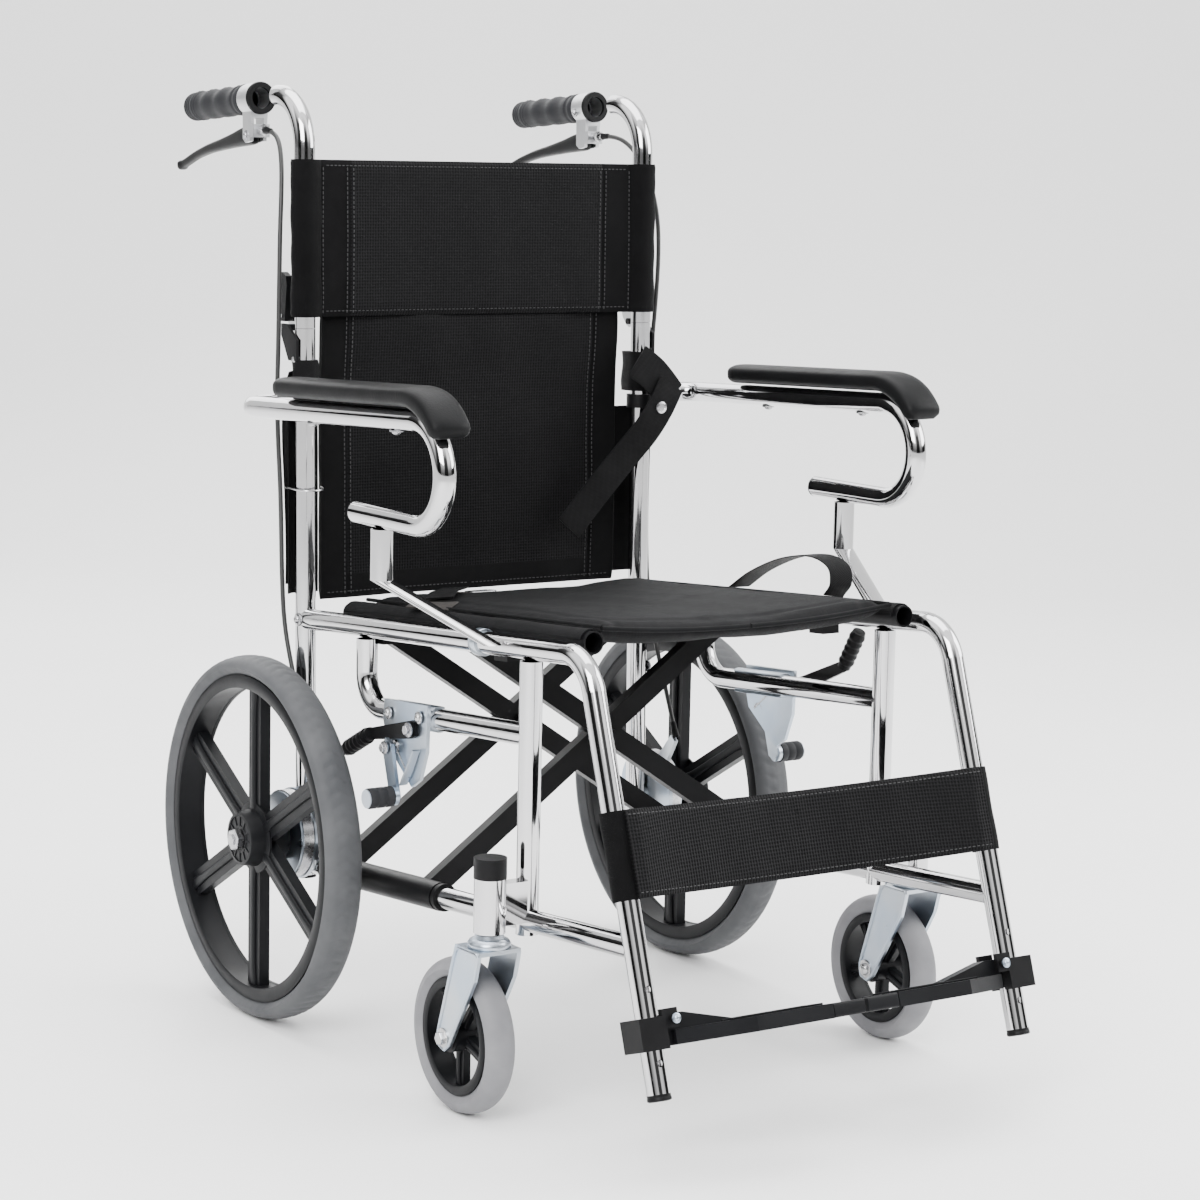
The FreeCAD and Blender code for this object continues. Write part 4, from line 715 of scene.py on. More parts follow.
def makeUpperBack():
    low, high = backShape["low"] - 195, backShape["high"] - 195
    rows = np.linspace(low, high, 42)
    angle = np.linspace(0, 2 * np.pi, 44, endpoint=False)
    for side, sign in sides.items():
        place = postFrame()
        inward = np.arctan2(np.sin(angle), np.cos(angle) * -sign)
        reach = backShape["sleeve"] + backShape["flap"] * np.exp(-(inward / 0.42) ** 2)
        swell = 0.45 * np.sin(rows / 17.0)[:, None] * np.cos(2 * angle)[None] + 0.35 * np.sin(rows / 6.5 + 1)[:, None]
        radius = reach[None] + swell
        hem = 0.8 * (np.exp(-((rows - low - 5) / 3.0) ** 2) + np.exp(-((rows - high + 5) / 3.0) ** 2))
        radius = radius + hem[:, None]
        outer = np.stack([sign * post + radius * np.cos(angle), radius * np.sin(angle) * 0.96,
                          np.broadcast_to(rows[:, None], radius.shape)], -1)
        ring = np.stack([sign * post + 11.5 * np.cos(angle), 11.5 * np.sin(angle)], -1)
        inner = np.concatenate([np.broadcast_to(ring[None], (2, 44, 2)), np.array([low + 1.0, high - 1.0])[:, None, None] *
                                np.ones((2, 44, 1))], -1)
        grid = np.concatenate([inner[:1], outer, inner[1:]])
        piece = surface(f"backSleeve_{side}", apply(place, grid), look["nylon"], f"back_{side}", wrapRows=True,
                        slot="cover_fabric")

        def middle(x, z):
            bow = 1 - (np.abs(x) / 198) ** 2.2
            return backShape["sag"] * bow * (0.7 + 0.3 * (high - z) / (high - low)) - 1.5 + crumple(
                x, z, 0.35, 150)

        def thick(x, z):
            seam = np.exp(-((np.abs(x) - backShape["seam"]) / 2.2) ** 2)
            edge = np.exp(-((z - low - 6) / 2.0) ** 2) + np.exp(-((z - high + 6) / 2.0) ** 2)
            inside = 1 / (1 + np.exp((np.abs(x) - backShape["seam"]) / 3))
            return backShape["thick"] * (0.62 + 0.38 * inside) * (1 - 0.5 * seam) * (1 - 0.35 * np.clip(edge, 0, 1))

        x = sign * np.concatenate([np.linspace(0, 150, 34), np.linspace(152, 170, 14), np.linspace(174, 198.5, 12)])
        panel = sheetGrid(x, rows, middle, thick, place)
        piece = surface(f"upperBack_{side}", panel, look["nylon"], f"upper_cover_{side}", slot="cover_fabric", strip=True)
        paint(piece, lambda p: np.abs(p[:, 0]) < backShape["seam"] - 1, look["spacer"])
        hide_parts(f"upper_back_cover_{side}")
        z = np.linspace(low + 3, high - 3, 60)
        for count, seam in enumerate((backShape["seam"] + 3.5, backShape["seam"] - 4.0, 195.0)):
            line = np.stack([np.full(60, sign * seam), middle(sign * seam, z) - thick(seam, z) - 0.25, z], -1)
            stitches(f"backSeam_{count}_{side}", apply(place, line), f"upper_cover_{side}")
        for label, level in (("top", high - 6), ("low", low + 6)):
            x = sign * np.linspace(2, 196, 80)
            line = np.stack([x, middle(x, level) - thick(x, level) - 0.25, np.full(80, level)], -1)
            stitches(f"backHem_{label}_{side}", apply(place, line), f"upper_cover_{side}")


def makeLowerBack():
    low, high = backShape["lowerLow"] - 195, backShape["lowerHigh"] - 195
    z = np.linspace(low, high, 60)
    for side, sign in sides.items():
        place = postFrame()

        def middle(x, z):
            bow = 1 - (np.abs(x) / backShape["lowerEdge"]) ** 2.4
            lean = np.clip((z - (high - 110)) / 110, 0, 1)
            forward = (lean * lean * (3 - 2 * lean)) * (4 + 5 * bow)
            return 15.6 + 4.5 * bow - forward + crumple(x, z, 0.8, 210)

        def thick(x, z):
            seam = np.exp(-((np.abs(x) - 156) / 2.4) ** 2)
            edge = np.exp(-((z - low - 7) / 2.2) ** 2)
            return 3.2 * (1 - 0.5 * seam) * (1 - 0.35 * edge)

        x = sign * np.concatenate([np.linspace(0, 146, 32), np.linspace(148, 165, 12), np.linspace(168, 189, 10)])
        piece = surface(f"lowerBack_{side}", sheetGrid(x, z, middle, thick, place), look["nylon"],
                        f"lower_cover_{side}", slot="cover_fabric", strip=True)
        paint(piece, lambda p: (np.abs(p[:, 0]) < 155) & (p[:, 2] > 470), look["spacer"])
        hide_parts(f"lower_back_cover_{side}")
        run = np.linspace(low + 4, high - 4, 90)
        for count, seam in enumerate((152.0, 159.5)):
            line = np.stack([np.full(90, sign * seam), middle(sign * seam, run) - thick(seam, run) - 0.25, run], -1)
            stitches(f"lowerSeam_{count}_{side}", apply(place, line), f"lower_cover_{side}")
        across = sign * np.linspace(2, 186, 70)
        line = np.stack([across, middle(across, low + 7) - thick(across, low + 7) - 0.25, np.full(70, low + 7)], -1)
        stitches(f"lowerHem_{side}", apply(place, line), f"lower_cover_{side}")
        # flap that wraps round the back of the post
        turn = np.linspace(0, 1, 26)
        wrapX = sign * (191.5 + 39 * turn)
        wrapY = 15.2 + 0.6 * np.sin(turn * 3.0) - 7.0 * np.clip((turn - 0.72) / 0.28, 0, 1) ** 2
        rows = np.linspace(452 - 195, 640 - 195, 30)
        path = np.stack([np.broadcast_to(wrapX[:, None], (26, 30)), wrapY[:, None] + crumple(
            wrapX[:, None], rows[None], 0.25, 120), np.broadcast_to(rows[None], (26, 30))], -1)
        rear = path + (0, 2.6, 0)
        grid = apply(place, np.concatenate([path, rear[:, ::-1]], axis=1))
        flap = surface(f"backFlap_{side}", grid, look["nylon"], f"frame_{side}", slot="cover_fabric", strip=True)


makeUpperBack()
makeLowerBack()
print("back covers made")


seatShape = {"half": 176.5, "front": -500.0, "rear": -50.0, "thick": 12.0, "centre": 9.5, "voxel": 6.0,
             "pressure": 4.0, "cap": 6.0, "roll": 12.9}


def alongRail(y):
    angle = math.radians(chair["slope"])
    return (y - seatRise * math.sin(angle)) / math.cos(angle)


def inflate(piece, cap, pressure, voxel):
    # Blows the piece up a little as cloth and keeps each point within cap millimetres of its start.
    remesh = piece.modifiers.new("remesh", "REMESH")
    remesh.mode, remesh.voxel_size = "VOXEL", voxel / 1000
    applied(piece)
    start = meshPoints(piece.data)
    cloth = piece.modifiers.new("cloth", "CLOTH")
    cloth.settings.use_pressure = True
    cloth.settings.uniform_pressure_force = pressure
    cloth.settings.effector_weights.gravity = 0
    cloth.settings.quality = 5
    scene = bpy.context.scene
    for number in range(1, 21):
        scene.frame_set(number)
    blown = bpy.data.meshes.new_from_object(piece.evaluated_get(bpy.context.evaluated_depsgraph_get()))
    end = meshPoints(blown)
    piece.modifiers.remove(cloth)
    bpy.data.meshes.remove(blown)
    scene.frame_set(1)
    move = end - start
    size = np.linalg.norm(move, axis=1, keepdims=True)
    move *= np.minimum(1, cap / 1000 / np.maximum(size, 1e-9))
    setPoints(piece.data, start + move)


def meshPoints(mesh):
    read = np.empty(len(mesh.vertices) * 3)
    mesh.vertices.foreach_get("co", read)
    return read.reshape(-1, 3)


def setPoints(mesh, points):
    mesh.vertices.foreach_set("co", points.ravel())
    mesh.update()


def applied(piece):
    # Makes the piece's modifiers part of its mesh.
    made = bpy.data.meshes.new_from_object(piece.evaluated_get(bpy.context.evaluated_depsgraph_get()))
    piece.modifiers.clear()
    old = piece.data
    piece.data = made
    bpy.data.meshes.remove(old)


def halfOf(piece, sign, name):
    # The part of a closed piece on one side of the chair's middle, closed again at the cut.
    mesh = piece.data.copy()
    built = bmesh.new()
    built.from_mesh(mesh)
    bmesh.ops.bisect_plane(built, geom=built.verts[:] + built.edges[:] + built.faces[:], plane_co=(0, 0, 0),
                           plane_no=(-sign, 0, 0), clear_outer=True)
    edges = [edge for edge in built.edges if edge.is_boundary]
    bmesh.ops.holes_fill(built, edges=edges, sides=0)
    bmesh.ops.recalc_face_normals(built, faces=built.faces)
    built.to_mesh(mesh)
    built.free()
    mesh.shade_smooth()
    mesh.set_sharp_from_angle(angle=math.radians(50))
    half = bpy.data.objects.new(name, mesh)
    bpy.context.scene.collection.objects.link(half)
    return half


def seatSag(x, y):
    # How far the cover hangs below its tubes: most in the middle, a little more at the front edge.
    bow = 1 - np.clip(np.abs(x) / seatShape["half"], 0, 1) ** 2.2
    front = np.exp(-((y - seatShape["front"]) / 90.0) ** 2)
    return bow * (6.0 + 4.0 * front)


def makeSeat():
    place = foldFrame()
    v0, v1 = alongRail(seatShape["front"]), alongRail(seatShape["rear"])
    x = np.linspace(-seatShape["half"], seatShape["half"], 50)
    v = np.linspace(v0, v1, 60)
    gx, gv = np.meshgrid(x, v, indexing="ij")
    rim = np.minimum(np.clip((seatShape["half"] - np.abs(gx)) / 9, 0, 1), np.clip(np.minimum(gv - v0, v1 - gv) / 9, 0, 1))
    half = seatShape["thick"] / 2 * (0.25 + 0.75 * np.sqrt(rim * (2 - rim)))
    middle = seatRise + seatShape["centre"]
    top = np.stack([gx, gv, middle + half], -1)
    low = np.stack([gx, gv, middle - half], -1)[:, ::-1]
    grid = apply(place, np.concatenate([top, low], axis=1))
    pad = surface("seatPad", grid, look["seatCloth"])
    inflate(pad, seatShape["cap"], seatShape["pressure"], seatShape["voxel"])
    points = meshPoints(pad.data) * 1000 - (0, chair["axleY"], 0)
    sunk = seatSag(points[:, 0], points[:, 1])
    quilt = np.exp(-((np.abs(points[:, 0]) - 150) / 3.0) ** 2) + np.exp(-((points[:, 1] + 470) / 3.0) ** 2) * (
        np.abs(points[:, 0]) < 150)
    upper = points[:, 2] > (seatRailZ(points[:, 1]) + 7.9 + seatShape["centre"])
    sunk = sunk + np.where(upper, 2.2 * np.clip(quilt, 0, 1), 0) + crumple(points[:, 0], points[:, 1], 0.45, 190)
    points[:, 2] -= sunk
    setPoints(pad.data, (points + (0, chair["axleY"], 0)) / 1000)
    smooth = pad.modifiers.new("smooth", "SUBSURF")
    smooth.levels = smooth.render_levels = 1
    applied(pad)
    for side, sign in sides.items():
        piece = halfOf(pad, sign, f"seat_{side}")
        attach(piece, f"seat_{side}")
        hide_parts(f"seat_cover_{side}")
        seatTrim(side, sign, place, v0, v1)
    bpy.data.objects.remove(pad)


def seatTrim(side, sign, place, v0, v1):
    # Cloth rolled over the seat tube, piping along the edges and the seams.
    v = np.linspace(v0 - 1, v1 + 1, 60)
    turn = np.radians(np.linspace(18, 176, 22))
    wave = 0.25 * np.sin(v / 23)[:, None]
    radius = seatShape["roll"] + wave
    outer = np.stack([sign * (chair["seatHalf"] + radius * np.cos(turn)[None]), np.broadcast_to(v[:, None], (60, 22)),
                      seatRise + radius * np.sin(turn)[None]], -1)
    tight = 11.5
    inner = np.stack([sign * (chair["seatHalf"] + tight * np.cos(turn)[None] * np.ones((60, 1))),
                      np.broadcast_to(v[:, None], (60, 22)), seatRise + tight * np.sin(turn)[None] * np.ones((60, 1))],
                     -1)[:, ::-1]
    grid = apply(place, np.concatenate([outer, inner], axis=1))
    roll = surface(f"seatRoll_{side}", grid, look["seatCloth"], f"seat_{side}", slot="cover_fabric", strip=True)

    def onTop(x, y, lift=0.0):
        z = seatRailZ(y) + 7.9 + seatShape["centre"] + seatShape["thick"] * 0.40 + lift - seatSag(x, y)
        return np.stack([x, y, z], -1)

    front = seatShape["front"]
    x = sign * np.linspace(1, 174, 60)
    edge = onTop(x, np.full(60, front + 1.0), -1.5)
    piping(f"seatPiping_front_{side}", edge, f"seat_{side}", 2.4, "seatCloth", reference=(0, 0, 1))
    y = np.linspace(front + 2, seatShape["rear"] - 2, 70)
    edge = onTop(np.full(70, sign * 173.0), y, -0.5)
    piping(f"seatPiping_side_{side}", edge, f"seat_{side}", 2.0, "seatCloth")


makeSeat()
print("seat made")


strapShape = {"low": 250.0, "high": 328.0, "front": -16.8, "sag": 27.0, "thick": 1.9}


def makeCalfStrap():
    # Band from leg to leg, in front of the legs at its ends and hanging back in the middle.
    tall = (strapShape["high"] - strapShape["low"]) / math.cos(math.radians(chair["legLean"]))
    for side, sign in sides.items():
        place = legFrame(0, strapShape["low"])

        def middle(x, z):
            share = np.clip(np.abs(x) / 200, 0, 1)
            return strapShape["front"] + 1.5 + strapShape["sag"] * (1 - share ** 2.0) + crumple(x, z, 0.5, 160)

        def thick(x, z):
            hem = np.exp(-((z - 5) / 1.6) ** 2) + np.exp(-((z - tall + 5) / 1.6) ** 2)
            return strapShape["thick"] * (1 - 0.35 * hem)

        x = sign * np.linspace(-1.5, 213, 72)
        z = np.linspace(0, tall, 24)
        grid = sheetGrid(x, z, middle, thick, place)
        piece = surface(f"calfBand_{side}", grid, look["spacer"], f"strap_{side}", slot="cover_fabric", strip=True)
        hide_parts(f"calf_strap_{side}")
        for label, level in (("top", tall - 5), ("low", 5)):
            line = np.stack([x, middle(x, level) - thick(x, level) - 0.2, np.full(72, level)], -1)
            stitches(f"calfSeam_{label}_{side}", apply(place, line), f"strap_{side}")
        angle = np.linspace(0, 2 * np.pi, 48, endpoint=False)
        rows = np.linspace(0, tall, 20)
        radius = 13.4 + 0.35 * np.sin(3 * angle)[None] + 0.3 * np.sin(rows / 9)[:, None]
        outer = np.stack([sign * post + radius * np.cos(angle), radius * np.sin(angle),
                          np.broadcast_to(rows[:, None], (20, 48))], -1)
        ring = np.stack([sign * post + 11.5 * np.cos(angle), 11.5 * np.sin(angle)], -1)
        ends = np.concatenate([np.broadcast_to(ring[None], (2, 48, 2)), np.array([0.8, tall - 0.8])[:, None, None] *
                               np.ones((2, 48, 1))], -1)
        grid = np.concatenate([ends[:1], outer, ends[1:]])
        wrap = surface(f"calfWrap_{side}", apply(place, grid), look["nylon"], f"frame_{side}", wrapRows=True,
                       slot="cover_fabric")


makeCalfStrap()
print("calf strap made")


def ribbon(name, path, across, width, body, material="webbing", thick=1.6):
    # Flat webbing: a thin rounded section carried along a path, its width along a given direction at each
    # point.
    path = smoothPath(path, 70)
    across = smoothPath(across, 70) if np.ndim(across) > 1 else np.broadcast_to(across, (70, 3))
    along = np.gradient(path, axis=0)
    along /= np.linalg.norm(along, axis=1, keepdims=True)
    across = across - (across * along).sum(1, keepdims=True) * along
    across /= np.linalg.norm(across, axis=1, keepdims=True)
    out = np.cross(along, across)
    section = roundedSection(width, thick, 6.0, 28)
    grid = path[:, None] + section[None, :, :1] * across[:, None] + section[None, :, 1:] * out[:, None]
    piece = surface(name, grid, look[material], body, slot="webbing")
    return piece


def makeBelts():
    # near end: a wrap round the right post and a tail that hangs down behind it
    for side, sign in sides.items():
        low, high = 658.0, 702.0
        angle = np.linspace(0, 2 * np.pi, 48, endpoint=False)
        rows = np.linspace(low, high, 14) - 195
        radius = 13.6 + 1.2 * np.sin(rows / 7.0)[:, None] * np.cos(angle)[None] + 0.5 * np.cos(2 * angle + 1)[None]
        rear = 1 + 0.75 * np.exp(-((np.arctan2(np.sin(angle), np.cos(angle) * sign) - 1.9) / 0.6) ** 2)
        radius = radius * rear[None]
        outer = np.stack([sign * post + radius * np.cos(angle), radius * np.sin(angle),
                          np.broadcast_to(rows[:, None], (14, 48))], -1)
        ring = np.stack([sign * post + 11.6 * np.cos(angle), 11.6 * np.sin(angle)], -1)
        ends = np.concatenate([np.broadcast_to(ring[None], (2, 48, 2)), (np.array([low + 0.8, high - 0.8]) - 195)[
            :, None, None] * np.ones((2, 48, 1))], -1)
        piece = surface(f"beltWrap_{side}", apply(postFrame(), np.concatenate([ends[:1], outer, ends[1:]])),
                        look["webbing"], f"frame_{side}", wrapRows=True, slot="webbing")
        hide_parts(f"lap_belt_{side}")
    tail = [(-222, 22, 690), (-224, 31, 665), (-224, 33, 620), (-223, 29, 560), (-222, 27, 500), (-222, 27, 462)]
    ribbon("beltTail_right", tail, (1, 0.55, 0), 22, "frame_right")
    # far end: out past the post, folded over and led down across the back
    ribbon("beltFold_left", [(192, -15, 694), (212, -16.5, 680), (228, -17, 664), (239, -16, 652)], (0.64, 0, 0.77), 40,
           "frame_left")
    ribbon("beltLead_left", [(237, -19, 667), (222, -20, 641), (205, -18, 616), (186, -12, 592), (165, -5, 565),
                             (142, 1, 536), (118, 5, 506)], (0.78, 0, -0.62), 36, "frame_left")
    button = axisFrame(222, -21.5, 641, (0, -1, 0))
    surface("beltButton_left", lathe([(0.01, -1), (6.5, -1), (7, 0), (6.6, 1.2), (4.6, 2), (4, 1.4), (0.01, 1.6)], 28, button),
            look["steel"], "frame_left", slot="webbing")


makeBelts()
print("belts made")


def seatTop(x, y):
    # Height of the seat's upper face, or of the cloth rolled over the tube beside it.
    flat = seatRailZ(y) + 7.9 + seatShape["centre"] + seatShape["thick"] * 0.5 - seatSag(x, y)
    roll = seatRailZ(y) + 7.9 + seatShape["roll"]
    share = np.clip((np.abs(x) - 160) / 20, 0, 1)
    return flat * (1 - share) + roll * share


def makeSeatStraps():
    loop = [(203, -204, 462), (205, -240, 484), (206, -291, 504), (206, -340, 512), (206, -372, 505), (204, -380, 488),
            (201, -372, 474)]
    ribbon("tieStrap_left", loop, (1, 0, 0), 29, "seat_left")
    x = np.array([-48, -80, -112, -146, -172, -192])
    y = np.array([-34, -66, -110, -156, -190, -206])
    flat = np.stack([x, y, seatTop(x, y) + np.array([2.5, 3.5, 3, 3.5, 4, 1.5])], -1)
    ribbon("tieStrap_right", flat, (0.8, -0.6, 0.02), 46, "seat_right", "brownWeb")
    over = flat[1:5] + np.array([[14, 12, 4.5], [10, 8, 7], [8, 6, 7.5], [6, 2, 4.5]])
    ribbon("tieStrap_fold_right", over, (0.7, -0.7, 0.1), 30, "seat_right")
    tongue = turnedFrame(-30, -48, float(seatTop(np.array(-30.0), np.array(-48.0))) + 3.5, -4.3)
    ring = roundedSection(34, 22, 4.0, 40)
    hole = roundedSection(22, 7, 4.0, 40)
    rows = [(hole, -0.9), (ring * 0.97, -0.9), (ring, -0.4), (ring, 0.4), (ring * 0.97, 0.9), (hole, 0.9)]
    grid = np.stack([np.column_stack([section, np.full(40, z)]) for section, z in rows])
    surface("beltTongue", apply(tongue, grid), look["steel"], "seat_right", wrapRows=True, slot="webbing")


makeSeatStraps()
print("seat straps made")


wheelShape = {"half": 273.0, "outer": 194.6, "rim": 175.1, "width": 41.6, "blocks": 84, "groove": 0.9}


def treadGrid(outer, inner, width, count, rows, place, blocks=0, groove=0.0):
    # Tyre: half an oval over straight walls; slanted grooves cut its tread where blocks is above zero.
    half = width / 2
    depth = (outer - inner) * 0.62
    swing = np.linspace(-np.pi / 2, np.pi / 2, rows)
    radius = np.concatenate([[inner], outer - depth + depth * np.cos(swing) ** 0.8, [inner]])
    height = np.concatenate([[-half * 0.64], half * np.sin(swing), [half * 0.64]])
    turn = np.linspace(0, 2 * np.pi, count, endpoint=False)
    top = np.exp(-(height / (half * 0.62)) ** 6)[:, None]
    slant = np.abs(height[:, None]) / half * 0.9
    wave = np.cos(turn[None] * blocks + slant * 6.0)
    cutting = groove * top / (1 + np.exp(-(wave - 0.55) * 14)) if blocks else 0 * wave
    rib = 0.5 * groove * top * (np.cos(height[:, None] * 2 * np.pi / 7.5) > 0.55) if blocks else 0
    radius = radius[:, None] - cutting - rib
    grid = np.stack([radius * np.cos(turn)[None], radius * np.sin(turn)[None],
                     np.broadcast_to(height[:, None], radius.shape)], -1)
    return apply(place, grid)


def spokeRibs(name, place, body, count, start, end, first, wide, tall, base):
    # Raised rib along each spoke on both faces, wider at the hub and at the rim.
    share = np.linspace(0, 1, 20)
    flare = 1 + 0.7 * np.exp(-(share / 0.10) ** 2) + 0.6 * np.exp(-((1 - share) / 0.12) ** 2)
    turns = first + np.arange(count) * 2 * np.pi / count
    for face in (-1, 1):
        for number, turn in enumerate(turns):
            r = start + (end - start) * share
            path = np.stack([r * np.cos(turn), r * np.sin(turn), np.full(20, face * base)], -1)
            section = roundedSection(wide, tall * 2, 3.0, 16)
            normal = (-np.sin(turn), np.cos(turn), 0)
            grid = path[:, None] + section[None, :, :1] * flare[:, None, None] * np.array(normal) + section[
                None, :, 1:] * np.array([0, 0, 1.0])
            surface(f"{name}_{number}_{'in' if face < 0 else 'out'}", apply(place, grid), look["hubNylon"], body,
                    slot="hub_plastic")


def makeWheels():
    for side, sign in sides.items():
        place = axisFrame(sign * wheelShape["half"], 0, 195, (sign, 0, 0))
        body = f"wheel_{side}"
        grid = treadGrid(wheelShape["outer"], wheelShape["rim"], wheelShape["width"], 504, 22, place,
                         wheelShape["blocks"], wheelShape["groove"])
        tyre = surface(f"rearTyre_{side}", grid, look["tyre"], body, wrapRows=True, slot="rear_tyre")
        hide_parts(f"wheel_tyre_{side}")
        spokeRibs(f"spokeRib_{side}", place, body, 6, 24, 162, -math.pi / 2, 9.0, 3.4, 6.0)
        for face in (-1, 1):
            lip = lathe([(160.6, face * 12.0), (160.6, face * 15.6), (163.0, face * 16.6), (171.5, face * 16.6),
                         (174.9, face * 15.2), (174.9, face * 12.0)], 120, place)
            surface(f"rimLip_{'in' if face < 0 else 'out'}_{side}", lip, look["hubNylon"], body, wrapRows=True,
                    slot="hub_plastic")
        disc = lathe([(10.8, 20), (10.8, 22.6), (12.4, 23.8), (14.5, 23.8), (15.0, 22.9), (24.0, 22.9), (24.6, 24.4),
                      (27.6, 24.0), (28.6, 21.5), (31.0, 9.0), (38.0, 7.0), (38.0, 5.0), (10.8, 5.0)], 72, place)
        surface(f"hubRing_{side}", disc, look["hubNylon"], body, wrapRows=True, slot="hub_plastic")
        for number in range(12):
            turn = number * math.pi / 6
            path = np.stack([np.linspace(13.5, 25.0, 6) * math.cos(turn), np.linspace(13.5, 25.0, 6) * math.sin(turn),
                             np.full(6, 23.0)], -1)
            grid = path[:, None] + roundedSection(2.2, 2.2, 3.0, 8)[None, :, :1] * np.array(
                [-math.sin(turn), math.cos(turn), 0]) + roundedSection(2.2, 2.2, 3.0, 8)[None, :, 1:] * np.array([0, 0, 1.0])
            surface(f"hubFin_{number}_{side}", apply(place, grid), look["hubNylon"], body, slot="hub_plastic")
        nut = axisFrame(sign * 296.6, 0, 195, (sign, 0, 0))
        ring = circle(6, 0.3)
        rows = [(11.0, 0), (12.1, 0.7), (12.1, 7.6), (10.9, 8.9), (6.5, 8.9), (6.5, 10.2), (5.6, 10.9), (0.01, 10.9)]
        grid = np.stack([np.column_stack([ring * r, np.full(6, z)]) for r, z in rows])
        surface(f"axleNut_{side}", apply(nut, grid), look["steel"], f"frame_{side}", smooth=False, slot="zinc_steel")
        drum = axisFrame(sign * 226.5, 0, 195, (sign, 0, 0))
        band = lathe([(46.3, 5.4), (47.6, 5.6), (47.6, 17.6), (46.3, 17.8)], 72, drum)
        surface(f"drumBand_{side}", band, look["steel"], f"frame_{side}", wrapRows=True, slot="zinc_steel")


castorShape = {"half": 260.0, "y": -402.0, "z": 77.0, "outer": 76.7, "rim": 58.1, "width": 31.6}


def makeCastors():
    for side, sign in sides.items():
        x, y, z = sign * castorShape["half"], castorShape["y"], castorShape["z"]
        place = axisFrame(x, y, z, (sign, 0, 0))
        body = f"castor_{side}"
        grid = treadGrid(castorShape["outer"], castorShape["rim"], castorShape["width"], 96, 24, place)
        tyre = surface(f"castorTyre_{side}", grid, look["castorTyre"], body, wrapRows=True, slot="castor_tyre")
        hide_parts(f"castor_tyre_{side}")
        spokeRibs(f"castorRib_{side}", place, body, 5, 14, 50, -math.pi / 2, 5.0, 2.6, 4.0)
        for face in (-1, 1):
            lip = lathe([(48.6, face * 9.5), (48.6, face * 12.4), (50.5, face * 13.2), (56.0, face * 13.2),
                         (57.9, face * 12.0), (57.9, face * 9.5)], 80, place)
            surface(f"castorLip_{'in' if face < 0 else 'out'}_{side}", lip, look["hubNylon"], body, wrapRows=True,
                    slot="hub_plastic")
            end = axisFrame(x + face * 23.7, y, z, (face, 0, 0))
            bolt(f"castorBolt_{'in' if face < 0 else 'out'}_{side}", end, f"fork_{side}", 6.6, 4.6,
                 "hex" if face * sign > 0 else "dome")
            profile = [(y - 62, 173), (y - 22, 173), (y + 9, 82), (y + 7, 69), (y - 3, 66), (y - 10.5, 72), (y - 55, 146)]
            corners = np.array([(x + face * 23.6, a, b) for a, b in profile + profile[:1]])
            share = np.linspace(0, len(profile), 120)
            loop = np.stack([np.interp(share, np.arange(len(corners)), corners[:, i]) for i in range(3)], -1)
            loop = (loop + np.roll(loop, 2, 0) + np.roll(loop, -2, 0)) / 3
            turn = np.roll(loop, -1, 0) - np.roll(loop, 1, 0)
            turn /= np.linalg.norm(turn, axis=1, keepdims=True)
            out = np.cross(turn, (1.0, 0, 0))
            bead = loop[:-1, None] + 1.7 * (circle(8)[None, :, :1] * out[:-1, None] + circle(8)[None, :, 1:] * np.array(
                [1.0, 0, 0]))
            faces = gridFaces(len(bead), 8, True, True)
            makeMesh(f"forkEdge_{'in' if face < 0 else 'out'}_{side}", bead, faces, look["zinc"], f"fork_{side}",
                     slot="zinc_steel")
        crown = turnedFrame(x, castorShape["y"] - 44, 175.2, 0)
        cup = lathe([(8.2, -0.2), (20.0, -0.2), (21.0, 1), (21.0, 4), (19.0, 7.0), (14.5, 9.0), (13.8, 12.5), (8.2, 12.5)],
                    40, crown)
        surface(f"headBearing_{side}", cup, look["zinc"], f"fork_{side}", wrapRows=True, slot="zinc_steel")


makeWheels()
makeCastors()
print("wheels made")


def coil(name, centre, axis, radius, wire, turns, length, body, legs=()):
    # Helix about an axis, with its ends led out straight.
    count = int(turns * 20)
    turn = np.linspace(0, turns * 2 * np.pi, count)
    place = axisFrame(*centre, axis)
    points = apply(place, np.stack([radius * np.cos(turn), radius * np.sin(turn), length * np.linspace(0, 1, count)], -1))
    ends = [np.array(leg, float)[None] for leg in legs]
    if ends:
        points = np.concatenate([ends[0], points, ends[1]])
    surface(name, sweep(points, circle(8) * wire, reference=(0.31, 0.5, 0.81)), look["steel"], body, slot="zinc_steel")


